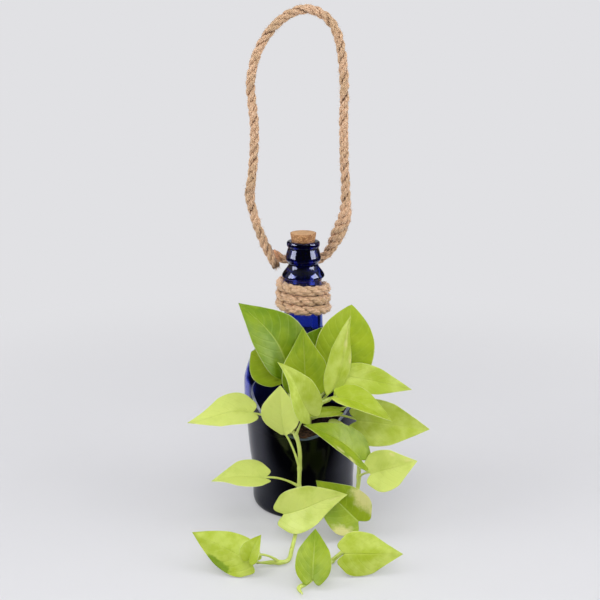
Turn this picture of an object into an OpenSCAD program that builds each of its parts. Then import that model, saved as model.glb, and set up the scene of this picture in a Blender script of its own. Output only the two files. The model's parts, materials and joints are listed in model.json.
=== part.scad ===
// Hanging planter made from a glass bottle. A ground window in the front of the
// bottle holds potting mix and a trailing heart-leaved vine, a cork closes the
// mouth, three turns of jute rope dress the neck, and a jute loop round the
// waist of the mouth carries it. Millimetres, +Z up, the axis of the bottle is
// the Z axis, the window faces -Y and the foot stands on z = 0.

/* [Glass bottle] */
// Height from the foot to the top of the lip
bottle_h = 222.5; // [217:0.5:233]
// Widest diameter of the body
body_d = 97; // [90:0.5:106]
// Wall of the body and the neck
glass_wall = 3.5; // [2.5:0.1:4.5]
// Thickness of the glass floor over the hollow of the foot
floor_t = 5; // [3:0.5:8]
// Width of the flat ring that the bottle stands on
ring_w = 5; // [3:0.5:8]
// Depth of the hollow under the foot
punt_h = 3; // [1:0.5:6]
// Height of the rounded heel
heel_h = 7; // [4:0.5:10]

/* [Neck and mouth] */
// Height of the neck, from the body to the top of the lip
neck_h = 72.5; // [69:0.5:79]
// Neck diameter at its foot
neck_foot_d = 31.6; // [29:0.2:34]
// Neck diameter under the collar
neck_top_d = 29; // [27:0.2:31]
// Diameter of the flared collar
collar_d = 34; // [32:0.2:38]
// Diameter of the waist that the loop goes round
waist_d = 23.6; // [22.4:0.2:24.6]
// Diameter of the bulb under the lip
bulb_d = 28.2; // [27:0.2:30]
// Diameter of the lip
lip_d = 26.4; // [25:0.2:29]
// Height of the band of the lip
lip_h = 3.8; // [2.6:0.2:4.6]
// Distance from the top of the lip down to the bulb
bulb_drop = 14.5; // [13.5:0.5:15.5]
// Distance from the top of the lip down to the waist
waist_drop = 19; // [18.5:0.5:19.5]
// Distance from the top of the lip down to the widest part of the collar
collar_drop = 27.5; // [26.5:0.5:28.5]
// Distance from the top of the lip down to the top of the plain neck
neck_drop = 34.5; // [33:0.5:37]
// Bore of the mouth
bore_d = 19; // [17:0.2:19.4]
// Length of the straight bore
bore_l = 22; // [19:0.5:24]

/* [Planting window] */
// Glass left on each side of the window, seen from the front
window_side = 6.5; // [5:0.5:12]
// Distance from the foot of the neck down to the top of the window
window_drop = 10.5; // [8:0.5:16]
// Distance from the edge of the potting mix down to the sill of the window
sill_drop = 2.5; // [2:0.5:6]
// Angle at which the ground edge opens outwards, in degrees
window_flare = 18; // [5:1:22]

/* [Cork] */
// Length of the cork
cork_h = 26; // [22:0.5:30]
// Length of the cork that stands out of the mouth
cork_stand = 6.6; // [4:0.2:11]
// Slope of the side of the cork, in degrees
cork_slope = 9; // [3:0.5:10]
// Gap between the cork and the mouth
cork_gap = 0.15; // [0.1:0.05:0.3]

/* [Rope] */
// Diameter of the jute rope
rope_d = 6.8; // [6:0.1:7.2]
// Gap from one turn to the next on the neck
turn_gap = 1; // [0.6:0.1:1.6]
// Number of turns on the neck
turns = 3; // [2:1:3]
// Gap between the rope and the glass
rope_gap = 0.1; // [0.1:0.05:0.4]
// Rise of the hanging loop, from the waist to the rope at its top
loop_rise = 196.5; // [150:0.5:260]

/* [Planting] */
// Height of the potting mix at the glass
mix_h = 73; // [66:0.5:74]
// Rise of the potting mix at its middle
mix_rise = 3; // [0:0.5:6]
// Gap between the potting mix and the glass
mix_gap = 0.2; // [0.1:0.05:0.5]
// Diameter of the vines
vine_d = 3.6; // [3:0.1:4.2]
// Diameter of a leaf stalk
stalk_d = 1.8; // [1.4:0.1:2.2]
// Thickness of a leaf along its midrib
blade_t = 0.9; // [0.6:0.1:1.2]

/* [Hidden] */

body_r = body_d / 2;
shoulder_h = bottle_h - neck_h;
sill_z = mix_h - sill_drop;
window_w = body_d - 2 * window_side;
window_h = shoulder_h - window_drop - sill_z;
window_z = sill_z + window_h / 2;
overrun = glass_wall;        // how far a cut runs past the glass
curve_steps = 4;             // pieces between two points of an outline

// Outline of the body, as shares of its radius and of the shoulder height
body_shares = [[0.868, 0.047], [0.868, 0.16], [0.884, 0.235], [0.912, 0.305],
  [0.934, 0.375], [0.951, 0.445], [0.972, 0.52], [0.992, 0.6], [1, 0.675],
  [0.996, 0.728], [0.974, 0.762], [0.94, 0.797], [0.85, 0.865], [0.72, 0.908],
  [0.55, 0.945], [0.41, 0.975]];

// One leaf's outline: place along the midrib and half width, as shares
leaf_row_shares = [[0, 0.6], [0.07, 0.86], [0.18, 1], [0.33, 0.99],
  [0.5, 0.87], [0.66, 0.67], [0.81, 0.41], [0.93, 0.15]];
leaf_across_shares = [-1, -0.7, -0.36, 0, 0.36, 0.7, 1];
lobe_share = 0.13;           // how far the lobes reach back past the stalk
stalk_rings = 5;
stalk_sides = 6;

function unit(v) = v / norm(v);

function between(a, b, c, d, t) =
  (2 * b + (c - a) * t + (2 * a - 5 * b + 4 * c - d) * t * t
    + (3 * b - a - 3 * c + d) * t * t * t) / 2;

// A smooth curve through points, with n pieces between each two
function smooth(p, n) =
  let(last = len(p) - 1)
  [for (i = [0:last - 1], k = [0:n - 1])
    between(p[max(i - 1, 0)], p[i], p[i + 1], p[min(i + 2, last)], k / n),
   p[last]];

// The same outline moved inwards by w, square to itself
function inset(p, w) =
  let(last = len(p) - 1)
  [for (i = [0:last])
    let(t = unit(p[min(i + 1, last)] - p[max(i - 1, 0)]))
    p[i] + w * [-t[1], t[0]]];

function along(p, i) = unit(p[min(i + 1, len(p) - 1)] - p[max(i - 1, 0)]);

// Round tube along points, one radius for each; ref is never along the tube
module tube(p, r, ref, sides) {
  rings = [for (i = [0:len(p) - 1])
    let(t = along(p, i), u = unit(cross(t, ref)), v = cross(t, u))
    for (k = [0:sides - 1])
      p[i] + r[i] * (cos(360 * k / sides) * u + sin(360 * k / sides) * v)];
  last = (len(p) - 1) * sides;
  walls = [for (i = [0:len(p) - 2], k = [0:sides - 1])
    let(a = i * sides + k, b = i * sides + (k + 1) % sides)
    each [[a, a + sides, b + sides], [a, b + sides, b]]];
  caps = [[for (k = [0:sides - 1]) k], [for (k = [sides - 1:-1:0]) last + k]];
  polyhedron(points = rings, faces = concat(walls, caps));
}

foot_r = body_shares[0][0] * body_r;
ring_out_r = foot_r - heel_h / 2;
neck_z = bottle_h - neck_drop;

body_points = [for (s = body_shares) [s[0] * body_r, s[1] * shoulder_h]];
neck_points = [[neck_foot_d / 2, shoulder_h + neck_foot_d / 8],
  [neck_top_d / 2, neck_z], [collar_d / 2, bottle_h - collar_drop],
  [waist_d / 2, bottle_h - waist_drop], [bulb_d / 2, bottle_h - bulb_drop],
  [lip_d / 2 - lip_h / 4, bottle_h - 1.5 * lip_h]];
neck_curve = smooth(neck_points, curve_steps);
body_curve = smooth(concat(body_points, [neck_points[0]]), curve_steps);
heel_points = [for (a = [0:18:72])
  [ring_out_r + (foot_r - ring_out_r) * sin(a), heel_h * (1 - cos(a))]];
lip_points = [[lip_d / 2, bottle_h - lip_h], [lip_d / 2, bottle_h - lip_h / 3],
  [lip_d / 2 - lip_h / 3, bottle_h], [bore_d / 2, bottle_h]];

outside = concat(heel_points, body_curve, [neck_curve[curve_steps]],
  [for (i = [curve_steps + 1:len(neck_curve) - 1]) neck_curve[i]], lip_points);
inner_curve = inset(body_curve, glass_wall);
floor_z = punt_h + floor_t;
inner_foot_r = inner_curve[0][0] - glass_wall;

// Radius of the plain neck at height z
function neck_r(z) = let(s = (z - neck_points[0][1]) / (neck_z - neck_points[0][1]))
  (neck_foot_d + (neck_top_d - neck_foot_d) * s) / 2;

// Inside outline from the floor up, w in from the outside of the glass
function inside(w) = concat([[inner_foot_r, floor_z]],
  [for (q = inset(body_curve, w)) if (q[1] > floor_z + glass_wall) q]);

module window_cut() {
  side_y = sqrt(body_r * body_r - window_w * window_w / 4);
  start_y = side_y - 2 * glass_wall;
  depth = body_r + overrun - start_y;
  spread = tan(window_flare);
  half_w = window_w / 2 - spread * (side_y - start_y);
  half_h = window_h / 2 - spread * (body_r - start_y);
  grow = spread * depth;
  fullness = 1.6;            // 2 is an ellipse, less is more pointed
  oval = [for (a = [0:7.5:352.5])
    [half_w * sign(cos(a)) * pow(abs(cos(a)), 2 / fullness),
     half_h * sign(sin(a)) * pow(abs(sin(a)), 2 / fullness)]];
  translate([0, -start_y, window_z]) rotate([90, 0, 0])
    linear_extrude(height = depth, scale = [1 + grow / half_w, 1 + grow / half_h])
      polygon(oval);
}

module bottle() {
  throat = [[bore_d / 2, bottle_h - bore_l],
    [neck_top_d / 2 - glass_wall, neck_z]];
  hollow = inside(glass_wall);
  punt = [[0, punt_h], [ring_out_r / 2, punt_h * 0.9],
    [ring_out_r - 1.6 * ring_w, punt_h / 2], [ring_out_r - ring_w, 0]];
  color([0.06, 0.1, 0.55, 0.85]) difference() {
    rotate_extrude($fn = 96) polygon(concat(outside, throat,
      [for (i = [len(hollow) - 1:-1:0]) hollow[i]], [[0, floor_z]], punt));
    window_cut();
  }
}

module cork() {
  seat_r = bore_d / 2 - cork_gap;
  top_r = seat_r + cork_stand * tan(cork_slope);
  low_r = top_r - cork_h * tan(cork_slope);
  edge = cork_gap * 3;
  color([0.8, 0.62, 0.42]) translate([0, 0, bottle_h + cork_stand - cork_h])
    rotate_extrude($fn = 64) polygon([[0, 0], [low_r - edge, 0], [low_r, edge],
      [top_r, cork_h - edge], [top_r - edge, cork_h], [0, cork_h]]);
}

rope_r = rope_d / 2;
pitch = rope_d + turn_gap;
rings_per_turn = 24;

// The rope winds down; its first fifth of a turn climbs on the flare of the collar
winding_z = neck_z + rope_r / 2;
collar_flare = (collar_d - neck_top_d) / 2;
function on_neck(t) =
  let(z = winding_z - pitch * t,
    r = neck_r(z) + rope_gap + rope_r + collar_flare * max(0, 0.4 - 2 * t))
  [r * sin(360 * t) * -1, r * cos(360 * t), z];

module neck_winding() {
  path = [for (i = [0:turns * rings_per_turn]) on_neck(i / rings_per_turn)];
  first = path[0] + rope_d * unit(path[0] - path[1]);
  last = path[len(path) - 1]
    + rope_d * unit(path[len(path) - 1] - path[len(path) - 2]);
  route = concat([first], path, [last]);
  color([0.72, 0.56, 0.4])
    tube(route, [for (q = route) rope_r], [0, 0, 1], 6);
  echo(least_gap_between_turns = min([for (i = [0:len(path) - rings_per_turn],
    k = [-2:2]) let(j = i + rings_per_turn + k) if (j < len(path))
      norm(path[i] - path[j]) - rope_d]));
}

// Route of the loop and the thickness of the rope there, as a share. It starts
// at the cut end on the left, goes up and over, comes down on the right, lies
// behind the waist and ends beside the cut end. It is laid out for the waist
// and the rise below, and follows the real ones.
route_waist_d = 23.6;
route_waist_z = 203.5;
route_rise = 196.5;
loop_route = [[-21.5, 8, 199, 1], [-25.5, 8, 207, 1], [-30, 8, 216, 1.1],
  [-34, 7, 226, 1], [-37.5, 6, 236, 1], [-41.5, 4, 252, 1], [-42, 2, 262, 1.05],
  [-40.5, 1, 272, 1], [-39, 0, 286, 1], [-38, 0, 300, 1], [-38, 0, 316, 1],
  [-39.5, 0, 330, 1], [-40.5, 0, 342, 1], [-39.5, 0, 353, 1],
  [-36, 0, 366, 1], [-30, 0, 378, 1], [-22, 0, 388, 1], [-12, 0, 396, 1],
  [-1.5, 0, 400, 1], [8, 0, 399.5, 1], [17, 0, 394.5, 1], [24, 0, 386, 1],
  [28, 0, 374, 1], [30.5, 0, 356, 1], [31.5, 0, 338, 1], [31, 0, 320, 1],
  [31.5, 0, 302, 1], [32, 1, 286, 1], [33, 2, 270, 1], [33.5, 4, 254, 1.15],
  [33, 7, 241, 1.5], [29.5, 10, 230, 1.45], [25, 13, 219, 1.2],
  [20.5, 15, 210.5, 1], [16, 15.7, 205.5, 1], [10, 15.7, 203.5, 1],
  [0, 15.7, 203.5, 1], [-10, 15.7, 203.5, 1], [-16, 16, 204, 1],
  [-21, 17, 206.5, 0.95], [-25, 17.5, 210, 0.9]];

module hanging_loop() {
  side = waist_d / route_waist_d;
  up = loop_rise / route_rise;
  waist_z = bottle_h - waist_drop;
  color([0.74, 0.57, 0.4])
    tube([for (q = loop_route)
        [q[0] * side, q[1] * side, waist_z + (q[2] - route_waist_z) * up]],
      [for (q = loop_route) q[3] * rope_r], [0, 1, 0], 10);
}

module potting_mix() {
  wall = [for (q = inside(glass_wall + mix_gap)) if (q[1] < mix_h) q];
  top = [wall[len(wall) - 1][0], mix_h];
  low = [wall[0][0] - mix_gap, floor_z + mix_gap];
  color([0.25, 0.14, 0.09])
    rotate_extrude($fn = 96) polygon(concat([[0, low[1]], low],
      [for (i = [1:len(wall) - 1]) wall[i]], [top,
      [top[0] / 2, mix_h + mix_rise * 0.8], [0, mix_h + mix_rise]]));
}

// Places on the plant are shares of the body's radius and the shoulder height.
// The sill of the window has its own share, so the plant follows the mix.
sill_share = 0.47;
function level(s) = s < sill_share ? sill_z * s / sill_share
  : sill_z + (shoulder_h - sill_z) * (s - sill_share) / (1 - sill_share);
function place(s) = [s[0] * body_r, s[1] * body_r, level(s[2])];

stem_left_shares = [[-0.15, -0.45, 0.44], [-0.13, -0.62, 0.54],
  [-0.08, -0.8, 0.58], [-0.02, -0.94, 0.605]];
stem_right_shares = [[0.12, -0.42, 0.44], [0.1, -0.6, 0.55],
  [0.11, -0.8, 0.64], [0.27, -1.1, 0.7], [0.5, -1.26, 0.76]];
vine_front_shares = [[-0.24, -0.7, 0.44], [-0.2, -0.84, 0.51],
  [-0.12, -1, 0.51], [-0.06, -1.09, 0.44], [-0.06, -1.1, 0.34],
  [-0.07, -1.14, 0.24], [-0.09, -1.28, 0.13], [-0.12, -1.55, 0.05],
  [-0.18, -1.95, 0.02], [-0.25, -2.35, 0.02], [-0.5, -2.4, 0.02],
  [-0.7, -2.42, 0.022]];
vine_side_shares = [[0.42, -0.6, 0.44], [0.45, -0.8, 0.565],
  [0.68, -1.1, 0.565], [0.87, -1.18, 0.46], [0.9, -1.16, 0.3],
  [0.87, -1.2, 0.2], [0.84, -1.26, 0.08], [0.78, -1.5, 0.02],
  [0.66, -1.95, 0.02], [0.44, -2.35, 0.02], [0.22, -2.75, 0.02],
  [0.05, -3.02, 0.02], [-0.07, -3.16, 0.02], [-0.02, -3.35, 0.024]];

// Each leaf: root of its stalk, base of its blade, tip, the way it faces, its
// width as a share of its length, its fold in degrees, the arch of its midrib
// and the rise of its stalk, both as shares of their lengths
leaf_shares = [
  [[-0.08, -0.8, 0.58], [-0.29, -0.98, 0.89], [-1.04, -0.76, 1.21],
    [0.5, -0.85, 0.2], 0.76, 10, 0.18, 0.1],
  [[-0.13, -0.62, 0.54], [-0.31, -0.9, 0.84], [-0.84, -0.84, 0.955],
    [-0.1, -0.95, 0.3], 0.98, 8, 0.02, 0.1],
  [[-0.02, -0.94, 0.605], [0.04, -1.12, 0.775], [-0.01, -1.06, 1.11],
    [0, -0.95, 0.3], 0.7, 10, 0.04, 0.1],
  [[0.11, -0.8, 0.64], [0.24, -0.93, 0.815], [0.34, -0.82, 1.095],
    [0.1, -0.95, 0.3], 0.6, 8, 0.03, 0.1],
  [[0.18, -0.95, 0.67], [0.55, -0.99, 0.785], [0.77, -0.73, 1.2],
    [0.1, -0.95, 0.3], 0.78, 6, 0.05, 0.1],
  [[0.5, -1.26, 0.76], [0.48, -1.38, 0.82], [0.74, -1.24, 1.19],
    [0.25, -0.95, 0.3], 0.44, -22, 0.05, 0.1],
  [[0.27, -1.1, 0.7], [0.69, -1.14, 0.853], [1.74, -1.06, 0.77],
    [0.2, -0.8, 0.6], 0.46, 10, 0.03, 0.1],
  [[0.4, -1.2, 0.73], [0.54, -1.6, 0.79], [1.38, -1.74, 0.68],
    [0.2, -0.5, 0.85], 0.56, 25, 0.09, 0.1],
  [[0.1, -0.6, 0.55], [0.88, -0.94, 0.585], [2.04, -1.12, 0.56],
    [0.1, -0.9, 0.35], 0.66, 12, 0.03, 0.1],
  [[0.9, -1.16, 0.3], [1.08, -1.36, 0.345], [1.84, -1.24, 0.4],
    [0.1, -0.9, 0.4], 0.86, 12, 0.06, 0.1],
  [[0.87, -1.18, 0.46], [0.92, -1.36, 0.42], [-0.01, -1.48, 0.63],
    [-0.1, -0.45, 0.9], 0.6, 20, 0.12, 0.1],
  [[0.1, -0.74, 0.615], [0.56, -1.2, 0.665], [-0.12, -1.08, 0.625],
    [0, -0.25, 0.97], 0.42, 5, 0.04, -0.1],
  [[-0.12, -1, 0.51], [0.09, -1.3, 0.67], [-0.41, -1.4, 0.96],
    [0.5, -0.8, 0.3], 0.6, 20, 0.1, 0.05],
  [[-0.06, -1.1, 0.34], [-0.31, -1.28, 0.55], [-0.36, -1.44, 0.84],
    [-0.25, -0.95, 0.2], 0.7, 12, 0.06, 0.1],
  [[-0.2, -0.84, 0.51], [-0.81, -1.11, 0.65], [-1.86, -1.2, 0.605],
    [0, -0.47, 0.88], 0.64, 12, 0.08, 0.1],
  [[-0.07, -1.14, 0.24], [-0.63, -1.28, 0.31], [-1.49, -1.28, 0.29],
    [0, -0.47, 0.88], 0.68, 22, 0.09, 0.1],
  [[-0.09, -1.28, 0.13], [-0.31, -1.44, 0.13], [0.71, -1.57, 0.26],
    [0, -0.85, 0.5], 0.66, 12, 0.06, 0.1],
  [[0.87, -1.2, 0.2], [0.88, -1.5, 0.1], [0.2, -1.33, 0.305],
    [0, -0.9, 0.4], 0.84, 12, 0.06, 0.1],
  [[-0.7, -2.42, 0.022], [-0.8, -2.68, 0.075], [-1.7, -2.4, 0.185],
    [0, -0.8, 0.6], 0.64, -14, 0.03, 0.1],
  [[-0.38, -2.38, 0.02], [-0.81, -2.84, 0.11], [-0.63, -2.72, 0.225],
    [-0.5, -0.8, 0.3], 0.9, 15, 0.1, 0.1],
  [[0.22, -2.75, 0.02], [0.13, -3.05, 0.045], [0.18, -2.43, 0.21],
    [0, -0.7, 0.7], 0.7, 12, 0.1, 0.1],
  [[0.44, -2.35, 0.02], [0.62, -2.68, 0.115], [1.51, -2.6, 0.1],
    [0, -0.9, 0.4], 0.76, -10, 0.03, 0.1]];

// The way the upper side of a blade faces, square to its midrib
function facing(base, tip, face) =
  let(d = unit(tip - base)) unit(face - (face * d) * d);

// Height of the arch of a midrib at share r of its length
function arch_at(r, arch_share) = 4 * arch_share * r * (1 - r);

// A folded, arched, heart-shaped blade with a thin rim
module blade(base, tip, face, width_share, fold, arch_share) {
  l = norm(tip - base);
  d = (tip - base) / l;
  up = facing(base, tip, face);
  side = cross(d, up);
  rows = len(leaf_row_shares);
  cols = len(leaf_across_shares);
  half = width_share * l / 2;
  middle = [for (r = leaf_row_shares, a = leaf_across_shares)
    let(out = abs(a) * r[1] * half,
      back = lobe_share * pow(1 - r[0], 3) * sin(150 * abs(a)))
    base + (r[0] - back) * l * d + sign(a) * out * cos(fold) * side
      + (out * sin(fold) + l * arch_at(r[0], arch_share)) * up];
  thick = [for (r = leaf_row_shares, a = leaf_across_shares)
    blade_t / 2 * (1 - abs(a) / 2) * up];
  n = rows * cols;
  point_list = concat([for (i = [0:n - 1]) middle[i] + thick[i]],
    [for (i = [0:n - 1]) middle[i] - thick[i]], middle, [tip]);
  rim = function(i, j) i == 0 || j == 0 || j == cols - 1;
  at = function(s, i, j) (rim(i, j) ? 2 * n : s * n) + i * cols + j;
  sheet = function(s) [for (i = [0:rows - 1], j = [0:cols - 2])
    let(a = at(s, i, j), b = at(s, i, j + 1),
      c = i < rows - 1 ? at(s, i + 1, j + 1) : 3 * n,
      e = i < rows - 1 ? at(s, i + 1, j) : 3 * n)
    each (i == rows - 1 ? [[a, b, c]]
      : j < cols / 2 - 1 ? [[a, b, c], [a, c, e]] : [[a, b, e], [b, c, e]])];
  flip = function(f) [for (q = f) [q[2], q[1], q[0]]];
  polyhedron(points = point_list, faces = concat(flip(sheet(0)), sheet(1)));
}

module leaf(i, tone) {
  s = leaf_shares[i];
  root = place(s[0]);
  base = place(s[1]);
  tip = place(s[2]);
  l = norm(tip - base);
  goal = base + stalk_d * unit(tip - base)
    + l * arch_at(stalk_d / l, s[6]) * facing(base, tip, s[3]);
  rise = s[7] * norm(goal - root) * [0, 0, 1];
  bend = (root + goal) / 2 + 2 * rise;
  stalk = [for (k = [0:stalk_rings]) let(t = k / stalk_rings)
    (1 - t) * (1 - t) * root + 2 * t * (1 - t) * bend + t * t * goal];
  color(tone) union() {
    blade(base, tip, s[3], s[4], s[5], s[6]);
    tube(stalk, [for (q = stalk) stalk_d / 2], cross(goal - root, [0, 0, 1]),
      stalk_sides);
  }
}

module stem(shares, sides) {
  path = smooth([for (s = shares) place(s)], 2);
  color([0.66, 0.74, 0.3]) tube(path, [for (q = path) vine_d / 2], [1, 0, 0], sides);
}

new_leaf_shares = [[0.1, -0.66, 0.58], [0.5, -1, 0.65], [0.74, -1.08, 0.685]];
new_leaf_row_shares = [0.5, 0.55, 0.75, 0.95, 0.5];

module new_leaf() {
  path = smooth([for (s = new_leaf_shares) place(s)], 2);
  color([0.8, 0.86, 0.5]) tube(path,
    [for (r = new_leaf_row_shares) r * stalk_d], [0, 0, 1], stalk_sides);
}

deep = [0.5, 0.66, 0.16];
mid = [0.62, 0.74, 0.22];
pale = [0.76, 0.84, 0.36];

bottle();
cork();
neck_winding();
hanging_loop();
potting_mix();
stem(stem_left_shares, 6);  // stem_left
stem(stem_right_shares, 6);  // stem_right
stem(vine_front_shares, 6);  // vine_front
stem(vine_side_shares, 6);  // vine_side
leaf(0, deep);  // leaf_01
leaf(1, deep);  // leaf_02
leaf(2, deep);  // leaf_03
leaf(3, deep);  // leaf_04
leaf(4, deep);  // leaf_05
leaf(5, pale);  // leaf_06
leaf(6, mid);  // leaf_07
leaf(7, pale);  // leaf_08
leaf(8, mid);  // leaf_09
leaf(9, pale);  // leaf_10
leaf(10, mid);  // leaf_11
leaf(11, deep);  // leaf_12
leaf(12, pale);  // leaf_13
leaf(13, pale);  // leaf_14
leaf(14, pale);  // leaf_15
leaf(15, pale);  // leaf_16
leaf(16, pale);  // leaf_17
leaf(17, mid);  // leaf_18
leaf(18, pale);  // leaf_19
leaf(19, mid);  // leaf_20
leaf(20, pale);  // leaf_21
leaf(21, pale);  // leaf_22
new_leaf();
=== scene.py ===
import json
import math
import random

import bmesh
import bpy
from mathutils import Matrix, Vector, noise

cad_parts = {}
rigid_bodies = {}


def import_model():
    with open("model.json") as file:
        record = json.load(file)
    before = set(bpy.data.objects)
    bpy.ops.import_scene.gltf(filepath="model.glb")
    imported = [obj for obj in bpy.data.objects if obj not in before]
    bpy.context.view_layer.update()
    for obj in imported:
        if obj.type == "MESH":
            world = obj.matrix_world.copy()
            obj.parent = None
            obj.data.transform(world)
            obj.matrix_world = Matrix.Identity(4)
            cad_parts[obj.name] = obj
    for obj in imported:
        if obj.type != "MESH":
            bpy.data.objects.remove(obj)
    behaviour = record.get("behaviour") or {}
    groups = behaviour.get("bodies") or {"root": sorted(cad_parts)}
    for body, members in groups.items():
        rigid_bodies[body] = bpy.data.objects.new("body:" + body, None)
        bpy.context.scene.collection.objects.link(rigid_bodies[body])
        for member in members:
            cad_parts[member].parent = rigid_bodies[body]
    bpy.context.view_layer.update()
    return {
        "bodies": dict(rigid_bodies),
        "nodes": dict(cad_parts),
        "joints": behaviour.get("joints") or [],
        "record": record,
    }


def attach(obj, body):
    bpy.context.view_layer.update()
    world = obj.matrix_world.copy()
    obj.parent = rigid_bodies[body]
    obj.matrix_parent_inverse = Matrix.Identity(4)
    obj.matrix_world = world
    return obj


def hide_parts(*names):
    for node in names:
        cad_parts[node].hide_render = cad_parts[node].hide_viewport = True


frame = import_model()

mm = 0.001
print("frame loaded")


# small helpers used by every piece
def clearSelection():
    if bpy.context.object and bpy.context.object.mode != "OBJECT":
        bpy.ops.object.mode_set(mode="OBJECT")
    bpy.ops.object.select_all(action="DESELECT")


def pick(*pieces):
    clearSelection()
    for piece in pieces:
        piece.select_set(True)
    bpy.context.view_layer.objects.active = pieces[0]


def settle(piece, name):
    # the place of the piece goes into its mesh
    pick(piece)
    bpy.ops.object.transform_apply(location=True, rotation=True, scale=True)
    piece.name = name
    piece.data.name = name
    return piece


def applyModifiers(piece):
    pick(piece)
    for modifier in list(piece.modifiers):
        bpy.ops.object.modifier_apply(modifier=modifier.name)


def joinPieces(pieces):
    pick(*pieces)
    bpy.ops.object.join()
    return bpy.context.object


def copyOf(piece):
    # a copy with its own mesh
    twin = piece.copy()
    twin.data = piece.data.copy()
    bpy.context.scene.collection.objects.link(twin)
    return twin


def pieceFrom(mesh, name):
    # a mesh that was built point by point becomes a piece
    data = bpy.data.meshes.new(name)
    mesh.to_mesh(data)
    mesh.free()
    piece = bpy.data.objects.new(name, data)
    bpy.context.scene.collection.objects.link(piece)
    return piece


# the next three work in edit mode
def moveVertices(piece, newPlace):
    mesh = bmesh.from_edit_mesh(piece.data)
    for vert in mesh.verts:
        vert.co = newPlace(vert.co)
    bmesh.update_edit_mesh(piece.data)


def selectEdges(piece, wanted):
    mesh = bmesh.from_edit_mesh(piece.data)
    for edge in mesh.edges:
        edge.select_set(wanted(edge))
    bmesh.update_edit_mesh(piece.data)


def closeShape():
    # all faces turned outwards, then back to object mode
    bpy.ops.mesh.select_all(action="SELECT")
    bpy.ops.mesh.normals_make_consistent(inside=False)
    bpy.ops.object.mode_set(mode="OBJECT")


def easy(near, t):
    # the smooth way from the second to the third of four points or numbers
    a, b, c, d = near
    return (2 * b + (c - a) * t + (2 * a - 5 * b + 4 * c - d) * t * t + (3 * b - a - 3 * c + d) * t ** 3) / 2


def smoothLine(points, steps):
    # a curve through all the points, with steps pieces between two of them
    line = []
    last = len(points) - 1
    for i in range(last):
        near = [Vector(points[min(max(k, 0), last)]) for k in (i - 1, i, i + 1, i + 2)]
        line += [easy(near, s / steps) for s in range(steps)]
    line.append(Vector(points[last]))
    return line


def evenLine(line, step):
    # the same line with points a step apart
    lengths = [0]
    for a, b in zip(line, line[1:]):
        lengths.append(lengths[-1] + (b - a).length)
    count = max(2, round(lengths[-1] / step))
    out, at = [], 0
    for i in range(count + 1):
        goal = lengths[-1] * i / count
        while at < len(line) - 2 and lengths[at + 1] < goal:
            at += 1
        span = lengths[at + 1] - lengths[at]
        out.append(line[at].lerp(line[at + 1], (goal - lengths[at]) / span if span else 0))
    return out, lengths[-1]


def framesAlong(line, start):
    # direction, side and third axis at every point, carried along without twist
    frames, side = [], Vector(start)
    for i, point in enumerate(line):
        ahead = (line[min(i + 1, len(line) - 1)] - line[max(i - 1, 0)]).normalized()
        side = (side - ahead * side.dot(ahead)).normalized()
        frames.append((point, ahead, side, ahead.cross(side)))
    return frames


def spoke(side, third, angle):
    # outwards from the middle of a cord or a stem
    return side * math.cos(angle) + third * math.sin(angle)


def between(table, place):
    # smooth value from a table of (place, value)
    last = len(table) - 1
    for i in range(last):
        if place <= table[i + 1][0] or i == last - 1:
            near = [table[min(max(k, 0), last)][1] for k in (i - 1, i, i + 1, i + 2)]
            return easy(near, (place - table[i][0]) / (table[i + 1][0] - table[i][0]))


# helpers for materials
def tone(red, green, blue):
    # a colour as it looks on screen, for a shader
    return tuple((v / 255 / 12.92 if v <= 10 else ((v / 255 + 0.055) / 1.055) ** 2.4)
                 for v in (red, green, blue)) + (1,)


def newMaterial(name):
    material = bpy.data.materials.new(name)
    material.use_nodes = True
    return material, material.node_tree, material.node_tree.nodes["Principled BSDF"]


def plug(tree, value, socket):
    if hasattr(value, "links"):
        tree.links.new(value, socket)
    else:
        socket.default_value = value


def calc(tree, operation, *values):
    node = tree.nodes.new("ShaderNodeMath")
    node.operation = operation
    for value, socket in zip(values, node.inputs):
        plug(tree, value, socket)
    return node.outputs[0]


def fade(tree, value, low, high, toLow=0.0, toHigh=1.0):
    node = tree.nodes.new("ShaderNodeMapRange")
    node.interpolation_type = "SMOOTHSTEP"
    for index, number in enumerate((value, low, high, toLow, toHigh)):
        plug(tree, number, node.inputs[index])
    return node.outputs[0]


def times(tree, first, second):
    return calc(tree, "MULTIPLY", first, second)


def plus(tree, first, second):
    return calc(tree, "ADD", first, second)


def minus(tree, first, second):
    return calc(tree, "SUBTRACT", first, second)


def mixColours(tree, factor, first, second):
    node = tree.nodes.new("ShaderNodeMix")
    node.data_type = "RGBA"
    for index, value in ((0, factor), (6, first), (7, second)):   # sockets 6 and 7 are the two colours
        plug(tree, value, node.inputs[index])
    return node.outputs[2]


def paintOver(tree, under, mask, strength, paint):
    # a colour laid over another where the mask is
    return mixColours(tree, times(tree, mask, strength), under, tone(*paint))


def noiseValue(tree, vector, scale, detail=3.0, roughness=0.5):
    node = tree.nodes.new("ShaderNodeTexNoise")
    plug(tree, vector, node.inputs["Vector"])
    plug(tree, scale, node.inputs["Scale"])
    node.inputs["Detail"].default_value = detail
    node.inputs["Roughness"].default_value = roughness
    return node.outputs[0]


def coordinates(tree, kind="Object"):
    return tree.nodes.new("ShaderNodeTexCoord").outputs[kind]


def split(tree, vector):
    node = tree.nodes.new("ShaderNodeSeparateXYZ")
    plug(tree, vector, node.inputs[0])
    return node.outputs


def storedValue(tree, name):
    # a value kept at the vertices of the piece
    node = tree.nodes.new("ShaderNodeAttribute")
    node.attribute_name = name
    return node.outputs["Fac"]


def setInputs(node, values):
    for label, value in values.items():
        node.inputs[label].default_value = value


def addBump(tree, height, strength, depth, socket):
    bump = tree.nodes.new("ShaderNodeBump")
    for label, value in (("Height", height), ("Strength", strength), ("Distance", depth)):
        plug(tree, value, bump.inputs[label])
    plug(tree, bump.outputs[0], socket)


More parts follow.
